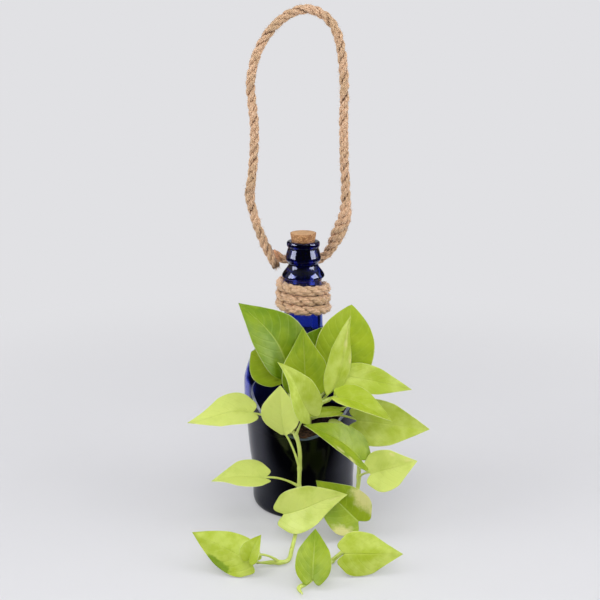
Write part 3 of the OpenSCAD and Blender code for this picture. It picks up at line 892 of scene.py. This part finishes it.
pottingMix = mixMaterial()
soil.data.materials.append(pottingMix)
clearSelection()
bpy.ops.mesh.primitive_cube_add(size=1, location=(0, 0, 0))   # one bark chip, then copies of it
chip = bpy.context.object
bpy.ops.object.mode_set(mode="EDIT")
bpy.ops.mesh.subdivide(number_cuts=2, smoothness=0.3)
moveVertices(chip, lambda co: co * (1 + 0.35 * noise.noise(co * 2.3)))
bpy.ops.object.mode_set(mode="OBJECT")
rng = random.Random(mix["seed"])
chips = []
for number in range(mix["chips"]):
    radius = mix["chipSpread"] * math.sqrt(rng.random()) * 0.95
    angle = rng.uniform(0, 2 * math.pi)
    piece = copyOf(chip)
    piece.scale = [rng.uniform(*mix[size]) * mm for size in ("chipLength", "chipWidth", "chipHeight")]
    piece.rotation_euler = (rng.uniform(-0.6, 0.6), rng.uniform(-0.6, 0.6), rng.uniform(0, 6.28))
    out = radius / mix["edgeR"]
    top = (mix["edge"] + mix["rise"] * (1 - out * out)) * mm + rng.uniform(-0.4, 0.5) * mm
    piece.location = (radius * math.cos(angle) * mm, radius * math.sin(angle) * mm, top)
    piece.data.materials.append(pottingMix)
    chips.append(piece)
bpy.data.objects.remove(chip)
soil = settle(joinPieces([soil] + chips), "pottingMix")
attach(soil, "planter")
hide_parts("potting_mix")
print("potting mix filled in")


# the plant
def place(share):
    # places on the plant are shares of the radius of the body and of the shoulder height
    x, y, z = share
    return Vector((x * bottle["bodyR"], y * bottle["bodyR"], z * bottle["shoulder"])) * mm


vines = {
    "diameter": 3.6, "sides": 14, "node": 1.28, "nodeReach": 2.2,
    "young": (212, 226, 122), "old": (202, 218, 98), "scar": (142, 116, 66),
    "routes": {
        "stemLeft": ("stem_left", [
            (-0.15, -0.45, 0.44), (-0.13, -0.62, 0.54), (-0.08, -0.8, 0.58), (-0.02, -0.94, 0.605)]),
        "stemRight": ("stem_right", [
            (0.12, -0.42, 0.44), (0.1, -0.6, 0.55), (0.11, -0.8, 0.64), (0.27, -1.1, 0.7),
            (0.5, -1.26, 0.76)]),
        "vineFront": ("vine_front", [
            (-0.24, -0.7, 0.44), (-0.2, -0.84, 0.51), (-0.12, -1, 0.51), (-0.06, -1.09, 0.44),
            (-0.06, -1.1, 0.34), (-0.07, -1.14, 0.24), (-0.09, -1.28, 0.13), (-0.12, -1.55, 0.05),
            (-0.18, -1.95, 0.02), (-0.25, -2.35, 0.02), (-0.5, -2.4, 0.02), (-0.7, -2.42, 0.022)]),
        "vineSide": ("vine_side", [
            (0.42, -0.6, 0.44), (0.45, -0.8, 0.565), (0.68, -1.1, 0.565), (0.87, -1.18, 0.46),
            (0.9, -1.16, 0.3), (0.87, -1.2, 0.2), (0.84, -1.26, 0.08), (0.78, -1.5, 0.02),
            (0.66, -1.95, 0.02), (0.44, -2.35, 0.02), (0.22, -2.75, 0.02), (0.05, -3.02, 0.02),
            (-0.07, -3.16, 0.02), (-0.02, -3.35, 0.024)]),
    },
}


def growTube(line, radii, sides, start):
    # a circle extruded ring by ring along a line
    frames = framesAlong(line, start)
    clearSelection()
    bpy.ops.mesh.primitive_circle_add(vertices=sides, radius=radii[0], fill_type="NGON")
    piece = bpy.context.object
    bpy.ops.object.mode_set(mode="EDIT")
    bpy.ops.mesh.select_mode(type="FACE")
    bpy.ops.mesh.select_all(action="SELECT")

    def setRing(frame, radius):
        point, _, side, third = frame
        mesh = bmesh.from_edit_mesh(piece.data)
        ring = next(face for face in mesh.faces if face.select)
        for k, loop in enumerate(ring.loops):
            loop.vert.co = point + spoke(side, third, 2 * math.pi * k / sides) * radius
        bmesh.update_edit_mesh(piece.data)

    setRing(frames[0], radii[0])
    for frame, radius in zip(frames[1:], radii[1:]):
        bpy.ops.mesh.extrude_region_move(TRANSFORM_OT_translate={"value": (0, 0, mm)})
        setRing(frame, radius)
    closeShape()
    bpy.ops.object.shade_smooth()
    return piece


def stemMaterial():
    material, tree, shader = newMaterial("vineStem")
    colour = mottled(tree, vines["young"], vines["old"], 55.0, 0.25)["Colour"]
    scar = fade(tree, noiseValue(tree, coordinates(tree), 260.0, 3), 0.64, 0.74)
    plug(tree, paintOver(tree, colour, scar, 0.5, vines["scar"]), shader.inputs["Base Color"])
    setInputs(shader, {"Roughness": 0.42, "Subsurface Weight": 0.12, "Subsurface Radius": (0.6, 1.0, 0.2),
                       "Subsurface Scale": 1.5 * mm})
    addRelief(tree, shader, 300.0, 0.25, 0.3)
    return material


vineStem = stemMaterial()

# each leaf: root of its stalk, base and tip of its blade, the way it faces, width share, fold in degrees,
# arch and rise shares, age from 0 young to 1 old, and its own looks: outline is one of the three below, as
# places along the blade and shares of its width, drip narrows the tip, sway bends the midrib, bow curves it
# near the base, left and right are the shares of its two halves, lobe is how far the lobes reach back, wave
# ripples the edge, and patches are (across, along, size, 1 cream or -1 dark painted shade)
leaves = {
    "thick": 0.5, "stalk": 1.8, "stalkSteps": 12, "stalkSides": 10, "columns": 20, "rows": 26,
    "softFold": 0.012, "waves": 7, "pleats": 24,
    "usual": {"drip": 0.5, "sway": 0, "bow": 0, "left": 1, "right": 1, "lobe": 0.13, "wave": 1,
              "outline": "heart", "patches": []},
    "heart": [(0, 0.6), (0.07, 0.86), (0.18, 1), (0.33, 0.99), (0.5, 0.87), (0.66, 0.67), (0.81, 0.41),
              (0.93, 0.15), (1, 0.0)],
    "broad": [(0, 0.5), (0.1, 0.78), (0.27, 0.95), (0.45, 1), (0.62, 0.93), (0.78, 0.7), (0.9, 0.38),
              (0.96, 0.16), (1, 0.0)],
    "oval": [(0, 0.16), (0.1, 0.44), (0.27, 0.83), (0.45, 1), (0.64, 0.92), (0.82, 0.52), (0.93, 0.22),
             (1, 0.0)],
    "young": (208, 221, 114), "grown": (164, 184, 36), "old": (104, 138, 4),
    # edge is the pale tone of a painted highlight along the rim
    "cream": (234, 226, 158), "edge": (232, 238, 180), "under": (196, 210, 110), "vein": (200, 216, 100),
    1: [(-0.08, -0.8, 0.58), (-0.29, -0.98, 0.89), (-1.04, -0.76, 1.21), (0.5, -0.85, 0.2),
        0.76, 8, 0.13, 0.1, 0.8, {"drip": 0.3, "wave": 1.6, "bow": 0.1, "left": 0.84, "right": 1.04}],
    2: [(-0.13, -0.62, 0.54), (-0.31, -0.9, 0.84), (-0.84, -0.84, 0.955), (-0.1, -0.95, 0.3),
        0.98, 8, 0.02, 0.1, 0.52, {"drip": 0, "wave": 1.4, "outline": "broad", "left": 1.14}],
    3: [(-0.02, -0.94, 0.605), (0.04, -1.12, 0.775), (-0.01, -1.06, 1.11), (0, -0.95, 0.3),
        0.74, 16, 0.04, 0.1, 0.6, {"drip": 0.8, "wave": 1.8}],
    4: [(0.11, -0.8, 0.64), (0.24, -0.93, 0.815), (0.4, -0.82, 1.095), (0.1, -0.95, 0.3),
        0.98, 8, 0.03, 0.1, 0.8, {"drip": 0, "outline": "broad", "left": 1.15}],
    5: [(0.18, -0.95, 0.67), (0.55, -0.99, 0.785), (0.77, -0.73, 1.2), (0.1, -0.95, 0.3),
        0.72, 6, 0.05, 0.1, 0.5, {"wave": 1.5, "drip": 0, "outline": "broad"}],
    6: [(0.5, -1.26, 0.76), (0.48, -1.38, 0.82), (0.74, -1.24, 1.19), (0.25, -0.95, 0.3),
        0.44, -42, 0.05, 0.1, 0.3, {"drip": 0.7, "sway": 0.02,
         "patches": [(0.62, 0.62, 0.22, 0.45), (0.9, 0.45, 0.2, 0.45)]}],
    7: [(0.27, -1.1, 0.7), (0.69, -1.14, 0.853), (1.74, -1.06, 0.77), (0.2, -0.8, 0.6),
        0.46, 10, 0.03, 0.1, 0.28, {"wave": 1.4}],
    8: [(0.4, -1.2, 0.73), (0.54, -1.6, 0.79), (1.38, -1.74, 0.68), (0.2, -0.5, 0.85),
        0.56, 25, 0.09, 0.1, 0.38, {"sway": -0.02}],
    9: [(0.1, -0.6, 0.55), (0.88, -0.94, 0.585), (2.04, -1.12, 0.56), (0.1, -0.9, 0.35),
        0.66, 12, 0.03, 0.1, 0.22, {"wave": 1.3}],
    10: [(0.9, -1.16, 0.3), (1.08, -1.36, 0.345), (1.84, -1.24, 0.4), (0.1, -0.9, 0.4),
         0.86, 12, 0.06, 0.1, 0.08, {"drip": 0.7,
          "patches": [(0.25, 0.8, 0.2, 0.5), (0.1, 0.5, 0.1, 0.5), (0.5, 0.95, 0.14, 0.4)]}],
    11: [(0.87, -1.18, 0.46), (0.92, -1.36, 0.42), (-0.01, -1.48, 0.63), (-0.1, -0.45, 0.9),
         0.6, 20, 0.12, 0.1, 0.6, {"wave": 1.5,
          "patches": [(0.12, 0.5, 0.14, 0.5), (0.06, 0.25, 0.12, 0.5)]}],
    12: [(0.1, -0.74, 0.615), (0.56, -1.2, 0.665), (-0.12, -1.08, 0.625), (0, -0.25, 0.97),
         0.42, 5, 0.04, -0.1, 0.36, {}],
    13: [(-0.12, -1, 0.51), (0.09, -1.3, 0.67), (-0.41, -1.4, 0.96), (0.5, -0.8, 0.3),
         0.6, 26, 0.1, 0.05, 0.22, {"drip": 0.8, "sway": -0.03}],
    14: [(-0.06, -1.1, 0.34), (-0.31, -1.28, 0.55), (-0.36, -1.44, 0.84), (-0.25, -0.95, 0.2),
         0.7, 14, 0.06, 0.1, 0, {"drip": 0, "lobe": 0, "outline": "oval"}],
    15: [(-0.2, -0.84, 0.51), (-0.81, -1.11, 0.65), (-1.86, -1.2, 0.605), (0, -0.47, 0.88),
         0.66, 12, 0.08, 0.1, 0.02, {"drip": 1, "sway": 0.035, "lobe": 0.08, "wave": 0.6}],
    16: [(-0.07, -1.14, 0.24), (-0.63, -1.28, 0.31), (-1.49, -1.28, 0.29), (0, -0.47, 0.88),
         0.68, 22, 0.09, 0.1, 0.02, {"drip": 0.8}],
    17: [(-0.09, -1.28, 0.13), (-0.31, -1.44, 0.13), (0.71, -1.57, 0.26), (0, -0.85, 0.5),
         0.66, 14, 0.06, 0.1, 0.1, {"drip": 0.6, "sway": 0.02, "patches": [(0.62, 0.78, 0.14, 0.45)]}],
    18: [(0.87, -1.2, 0.2), (0.88, -1.5, 0.1), (0.2, -1.33, 0.305), (0, -0.9, 0.4),
         0.84, 12, 0.06, 0.1, 0.6, {"patches": [(0.06, 0.12, 0.3, 0.8), (0.94, 0.25, 0.32, 1)]}],
    # the dark patch on leaf 19 is painted shade where its edge curls
    19: [(-0.7, -2.42, 0.022), (-0.8, -2.68, 0.075), (-1.7, -2.4, 0.185), (0, -0.8, 0.6),
         0.64, -16, 0.03, 0.1, 0.3, {"drip": 0.3, "patches": [(0.03, 0.45, 0.26, -1)]}],
    20: [(-0.38, -2.38, 0.02), (-0.81, -2.84, 0.11), (-0.63, -2.72, 0.225), (-0.5, -0.8, 0.3),
         0.9, 22, 0.1, 0.1, 0.3, {}],
    21: [(0.22, -2.75, 0.02), (0.13, -3.05, 0.045), (0.18, -2.43, 0.21), (0, -0.7, 0.7),
         0.7, 18, 0.1, 0.1, 0.6, {}],
    22: [(0.44, -2.35, 0.02), (0.62, -2.68, 0.115), (1.51, -2.6, 0.1), (0, -0.9, 0.4),
         0.76, -12, 0.03, 0.1, 0.26, {"drip": 0.8}],
}


def leafMaterials():
    # blade with veins, a painted pale rim highlight, cream patches, dark patches of painted shade, and age;
    # its paler underside; and the stalk
    made = []
    for name, under in (("leafBlade", False), ("leafUnderside", True)):
        material, tree, shader = newMaterial(name)
        across, along, _ = split(tree, coordinates(tree, "UV"))
        aside = calc(tree, "ABSOLUTE", minus(tree, times(tree, across, 2.0), 1.0))
        age = storedValue(tree, "age")
        patch = storedValue(tree, "patch")
        blotch = noiseValue(tree, coordinates(tree), 75.0, 3, 0.55)
        ageMask = plus(tree, age, fade(tree, blotch, 0.3, 0.7, -0.1, 0.1))
        colour = tone(*leaves["young"])
        for low, high, later in ((0.0, 0.45, "grown"), (0.35, 0.95, "old")):
            colour = mixColours(tree, fade(tree, ageMask, low, high), colour, tone(*leaves[later]))
        if under:
            colour = mixColours(tree, 0.45, colour, tone(*leaves["under"]))
        midrib = fade(tree, aside, 0.0, minus(tree, 0.06, times(tree, along, 0.04)), 1.0, 0.0)
        comb = calc(tree, "FRACT", times(tree, minus(tree, along, times(tree, aside, 0.34)), 8.0))
        vein = fade(tree, calc(tree, "ABSOLUTE", minus(tree, comb, 0.5)), 0.0, 0.16, 1.0, 0.0)
        colour = paintOver(tree, colour, midrib, fade(tree, age, 0.1, 0.8, 0.2, 0.4), leaves["vein"])
        colour = paintOver(tree, colour, vein, 0.07, leaves["vein"])
        # painted highlight: a pale rim along the leaf edge
        colour = mixColours(tree, fade(tree, aside, 0.955, 1.0, 0.0, 0.55), colour, tone(*leaves["edge"]))
        ragged = minus(tree, noiseValue(tree, coordinates(tree), 150.0, 3, 0.55), 0.5)
        # cream patches are the leaf's own colour; the dark ones are painted shade
        spots = (("cream", 1.0, 0.12, 0.6, 0.75), ("old", -1.0, 0.2, 0.5, 0.8))
        for paint, sign, low, high, strength in spots:
            spot = times(tree, patch, sign)
            spotMask = fade(tree, plus(tree, spot, ragged), low, high)
            spotMask = times(tree, spotMask, fade(tree, spot, 0.02, 0.12))
            colour = paintOver(tree, colour, spotMask, strength, leaves[paint])
        plug(tree, colour, shader.inputs["Base Color"])
        smooth, rough = (0.5, 0.7) if under else (0.42, 0.58)
        plug(tree, fade(tree, blotch, 0.3, 0.7, smooth, rough), shader.inputs["Roughness"])
        setInputs(shader, {"Specular IOR Level": 0.2, "Subsurface Weight": 0.12,
                           "Subsurface Radius": (0.7, 1.0, 0.15), "Subsurface Scale": 1.2 * mm})
        stand = 1 if under else -1   # the veins stand out below and lie sunk above
        height = plus(tree, times(tree, midrib, 0.8 * stand), times(tree, vein, 0.25 * stand))
        height = plus(tree, height, times(tree, noiseValue(tree, coordinates(tree), 190.0, 3), 0.9))
        addBump(tree, height, 0.6, 0.7 * mm, shader.inputs["Normal"])
        made.append(material)
    return made + [vineStem]


leafFinish = leafMaterials()

clearSelection()   # one flat blade, then a copy of it for each leaf
bpy.ops.mesh.primitive_grid_add(x_subdivisions=leaves["columns"], y_subdivisions=leaves["rows"], size=2)
flatBlade = bpy.context.object
flatBlade.name = "flatBlade"


def stalkLine(root, goal, rise):
    # a bent line; rise is how far its middle is lifted, as a share of its length
    bend = (root + goal) / 2 + 2 * rise * (goal - root).length * Vector((0, 0, 1))
    places = [k / leaves["stalkSteps"] for k in range(leaves["stalkSteps"] + 1)]
    return [(1 - t) ** 2 * root + 2 * t * (1 - t) * bend + t * t * goal for t in places]


def growLeaf(number):
    rootShare, baseShare, tipShare, face, width, fold, arch, rise, age, ownLooks = leaves[number]
    looks = {**leaves["usual"], **ownLooks}
    root, base, tip = place(rootShare), place(baseShare), place(tipShare)
    length = (tip - base).length
    ahead = (tip - base) / length
    up = Vector(face)
    up = (up - ahead * up.dot(ahead)).normalized()
    side = ahead.cross(up)
    half = width * length / 2
    fold = math.radians(fold)
    phase = number * 1.7
    blade = copyOf(flatBlade)
    pick(blade)
    bpy.ops.object.mode_set(mode="EDIT")
    mesh = bmesh.from_edit_mesh(blade.data)
    ageLayer = mesh.verts.layers.float.new("age")
    patchLayer = mesh.verts.layers.float.new("patch")
    for vert in mesh.verts:
        a, r = vert.co.x, (vert.co.y + 1) / 2      # across from -1 to 1, along from 0 to 1
        a = math.copysign(abs(a) ** 0.92, a)
        halfShare = looks["right" if a > 0 else "left"]
        out = abs(a) * max(0, between(leaves[looks["outline"]], r)) * half * halfShare
        tipward = min(1, max(0, (r - 0.5) / 0.4))
        out *= 1 - 0.35 * looks["drip"] * math.sin(math.pi / 2 * tipward)   # a drawn-out tip
        back = looks["lobe"] * (1 - r) ** 3 * math.sin(math.radians(150 * abs(a)))
        crease = math.sqrt(a * a + leaves["softFold"]) - math.sqrt(leaves["softFold"])   # a soft V
        lift = (out / max(abs(a), 0.001)) * crease * math.sin(fold) + length * 4 * arch * r * (1 - r)
        turn = leaves["waves"] * r + phase + (2 if a > 0 else 0)
        lift += 0.035 * looks["wave"] * half * abs(a) ** 3 * math.sin(turn) * min(1, 4 * (1 - r))
        pleat = math.sin(leaves["pleats"] * (r - 0.3 * abs(a))) * abs(a) * (1 - abs(a)) * min(1, 5 * (1 - r))
        lift += (0.012 + 0.016 * age) * half * pleat
        bend = length * (looks["sway"] * math.sin(2 * math.pi * r) + looks["bow"] * 4 * r * (1 - r) ** 2)
        aside = math.copysign(out * math.cos(fold), a) + bend
        vert.co = base + ahead * (r - back) * length + side * aside + up * lift
        vert[ageLayer] = age + 0.08 * noise.noise(Vector((a * 2, r * 3, number * 2.1)))
        u = (a + 1) / 2
        near = [(1 - math.hypot(u - x, r - y) / size, kind) for x, y, size, kind in looks["patches"]]
        best = max(near, default=(0, 1))
        vert[patchLayer] = max(0, best[0]) * best[1]
    bmesh.update_edit_mesh(blade.data)
    bpy.ops.mesh.select_all(action="SELECT")
    bpy.ops.mesh.remove_doubles(threshold=0.00002)
    mesh = bmesh.from_edit_mesh(blade.data)
    if sum((f.normal * f.calc_area() for f in mesh.faces), Vector()).dot(up) < 0:
        bpy.ops.mesh.flip_normals()
    bpy.ops.object.mode_set(mode="OBJECT")
    for material in leafFinish:
        blade.data.materials.append(material)
    body = blade.modifiers.new("body", "SOLIDIFY")
    body.thickness = leaves["thick"] * mm
    body.offset = 0
    body.material_offset = 1
    rounding = blade.modifiers.new("round", "SUBSURF")
    rounding.levels = rounding.render_levels = 1
    applyModifiers(blade)
    bpy.ops.object.shade_smooth()
    goal = base + ahead * leaves["stalk"] * 1.6 * mm + up * (4 * arch * leaves["stalk"] * mm - 0.3 * mm)
    steps, stalkR = leaves["stalkSteps"], leaves["stalk"] / 2 * mm
    radii = [stalkR * (1.45 - 1.6 * k / steps if k < 4 else 0.92) for k in range(steps)] + [stalkR * 0.45]
    stalk = growTube(stalkLine(root, goal, rise), radii, leaves["stalkSides"],
                     (goal - root).cross(Vector((0, 0, 1))))
    stalk.data.materials.append(vineStem)
    name = "leaf%02d" % number
    leaf = settle(joinPieces([blade, stalk]), name)
    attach(leaf, "planter")
    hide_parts("leaf_%02d" % number)
    return root


roots = [growLeaf(number) for number in range(1, 23)]
bpy.data.objects.remove(flatBlade)
print("22 leaves grown")

for name, (node, shares) in vines["routes"].items():
    line = evenLine(smoothLine([place(s) for s in shares], 10), 1.5 * mm)[0]
    half = vines["diameter"] / 2 * mm
    blunt = 0.5 if node == "stem_left" else 0.35   # thickness share at the tip
    radii = []
    for i, point in enumerate(line):
        near = min((point - root).length for root in roots)
        swell = 1 + (vines["node"] - 1) * math.exp(-(near / (vines["nodeReach"] * mm)) ** 2)
        closing = blunt + (1 - blunt) * min(1, (len(line) - 1 - i) / 6)
        radii.append(half * 0.9 * swell * closing * (1 + 0.05 * noise.noise(point * 300)))
    stem = growTube(line, radii, vines["sides"], (1, 0, 0.1))
    stem.data.materials.append(vineStem)
    settle(stem, name)
    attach(stem, "planter")
    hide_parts(node)
print("stems and vines grown")

# a leaf that is still rolled up
spike = {"route": [(0.1, -0.66, 0.58), (0.5, -1, 0.65), (0.74, -1.08, 0.685)], "radius": 1.8, "sides": 12,
         "fat": [0.5, 0.52, 0.6, 0.75, 0.92, 0.98, 0.8, 0.45, 0.12]}
line = evenLine(smoothLine([place(s) for s in spike["route"]], 8), 2 * mm)[0]
fatTable = [(k / 8, share) for k, share in enumerate(spike["fat"])]
radii = [spike["radius"] * mm * between(fatTable, i / (len(line) - 1)) for i in range(len(line))]
rolled = growTube(line, radii, spike["sides"], (0, 0, 1))
rolled.data.materials.append(vineStem)
settle(rolled, "rolledLeaf")
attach(rolled, "planter")
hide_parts("new_leaf")
print("rolled leaf grown")


# floor, backdrop and light
# room is a dark tone the paper shows only in reflections, a painted reflection
studio = {"paper": (224, 224, 227), "shade": (219, 219, 222), "far": (225, 225, 228), "room": (40, 40, 48),
          "front": -2.2, "sweepDepth": 1.6, "sweepHeight": 2.2, "sweepRound": 0.9, "half": 3.0,
          "nearEdge": 0.15, "farEdge": 0.7, "veil": 0.3,
          "air": (0.88, 0.88, 0.91), "around": 0.62, "behindCamera": 0.06, "seen": 0.75}

clearSelection()
bpy.ops.mesh.primitive_plane_add(size=2, location=(0, 0, 0))
floor = bpy.context.object
bpy.ops.object.mode_set(mode="EDIT")


def atCorner(co):
    depth = studio["sweepDepth"] if co.y > 0 else studio["front"]
    return Vector((math.copysign(studio["half"], co.x), depth, 0))


moveVertices(floor, atCorner)
selectEdges(floor, lambda edge: all(vert.co.y > 0 for vert in edge.verts))
bpy.ops.mesh.select_mode(type="EDGE")
bpy.ops.mesh.extrude_region_move(TRANSFORM_OT_translate={"value": (0, 0, studio["sweepHeight"])})
selectEdges(floor, lambda edge: all(abs(vert.co.z) < 1e-6 and vert.co.y > 1 for vert in edge.verts))
bpy.ops.mesh.bevel(offset=studio["sweepRound"], segments=24, affect="EDGES")
bpy.ops.object.mode_set(mode="OBJECT")
bpy.ops.object.shade_smooth()
settle(floor, "paperSweep")
paper, tree, shader = newMaterial("palePaper")
plug(tree, mottled(tree, studio["paper"], studio["shade"], 3.0, 0.4)["Colour"], shader.inputs["Base Color"])
setInputs(shader, {"Roughness": 0.7, "Specular IOR Level": 0.2})
# away from the object the paper is seen evenly pale, and gloss mirrors only a narrow sheet of it; round that,
# the paper shows glossy rays a painted dark reflection, the room tone
rays = tree.nodes.new("ShaderNodeLightPath").outputs
x, y, _ = split(tree, coordinates(tree))
away = calc(tree, "SQRT", plus(tree, calc(tree, "POWER", x, 2.0), calc(tree, "POWER", y, 2.0)))
seen = calc(tree, "MAXIMUM", rays["Is Camera Ray"], rays["Is Transmission Ray"])
seenFar = times(tree, seen, fade(tree, away, studio["nearEdge"], studio["farEdge"], studio["veil"], 1.0))
sheet = times(tree, fade(tree, calc(tree, "ABSOLUTE", x), 0.5, 0.3), fade(tree, y, -0.09, 0.0))
# painted reflection: glossy rays that land off the sheet see the dark room tone
offSheet = times(tree, rays["Is Glossy Ray"], minus(tree, 1.0, sheet))
surface = shader.outputs[0]
for mask, paint in ((seenFar, "far"), (offSheet, "room")):
    plain = tree.nodes.new("ShaderNodeEmission")
    plain.inputs["Color"].default_value = tone(*studio[paint])
    layer = tree.nodes.new("ShaderNodeMixShader")
    for index, value in enumerate((mask, surface, plain.outputs[0])):
        plug(tree, value, layer.inputs[index])
    surface = layer.outputs[0]
plug(tree, surface, tree.nodes["Material Output"].inputs["Surface"])
floor.data.materials.append(paper)

# name, place, aim, width, height, power, and whether it lights surfaces and shows in gloss
lamps = [
    ("leftBox", (-1.48, -0.48, 0.85), (0, 0, 0.2), 1.1, 1.2, 10.5, True, True),
    ("rightBox", (1.48, -0.48, 0.85), (0, 0, 0.2), 1.1, 1.2, 10.5, True, True),
    ("leftSheen", (-1.56, -0.51, 0.88), (0, 0, 0.2), 1.16, 1.26, 46, False, True),
    ("rightSheen", (1.56, -0.51, 0.88), (0, 0, 0.2), 1.16, 1.26, 46, False, True),
    ("frontFill", (0, -1.3, 1.2), (0, 0, 0.15), 1.2, 0.9, 11.5, True, False),
    ("topBox", (0, -0.3, 1.95), (0, 0, 0.1), 1.5, 0.9, 6, True, True),
]
for name, at, aim, width, height, power, lights, gleams in lamps:
    clearSelection()
    turn = (Vector(aim) - Vector(at)).to_track_quat("-Z", "Y").to_euler()
    bpy.ops.object.light_add(type="AREA", location=at, rotation=turn)
    lamp = bpy.context.object
    lamp.name = name
    lamp.data.shape = "RECTANGLE"
    lamp.data.size = width
    lamp.data.size_y = height
    lamp.data.energy = power
    lamp.visible_diffuse = lights
    lamp.visible_glossy = gleams

# pale air all round, but dark behind the camera, where the room is; seen straight it is pale everywhere
world = bpy.data.worlds.new("studioAir")
bpy.context.scene.world = world
world.use_nodes = True
air = world.node_tree
sky = air.nodes["Background"]
sky.inputs["Color"].default_value = (*studio["air"], 1)
_, y, z = split(air, coordinates(air, "Generated"))
glow = fade(air, plus(air, y, times(air, z, 0.2)), -0.7, 0.15, studio["behindCamera"], studio["around"])
rays = air.nodes.new("ShaderNodeLightPath").outputs
direct = calc(air, "MAXIMUM", rays["Is Camera Ray"], rays["Is Transmission Ray"])
strength = plus(air, times(air, glow, minus(air, 1.0, direct)), times(air, direct, studio["seen"]))
plug(air, strength, sky.inputs["Strength"])
bpy.context.scene.view_settings.view_transform = "Standard"
print("studio set up")
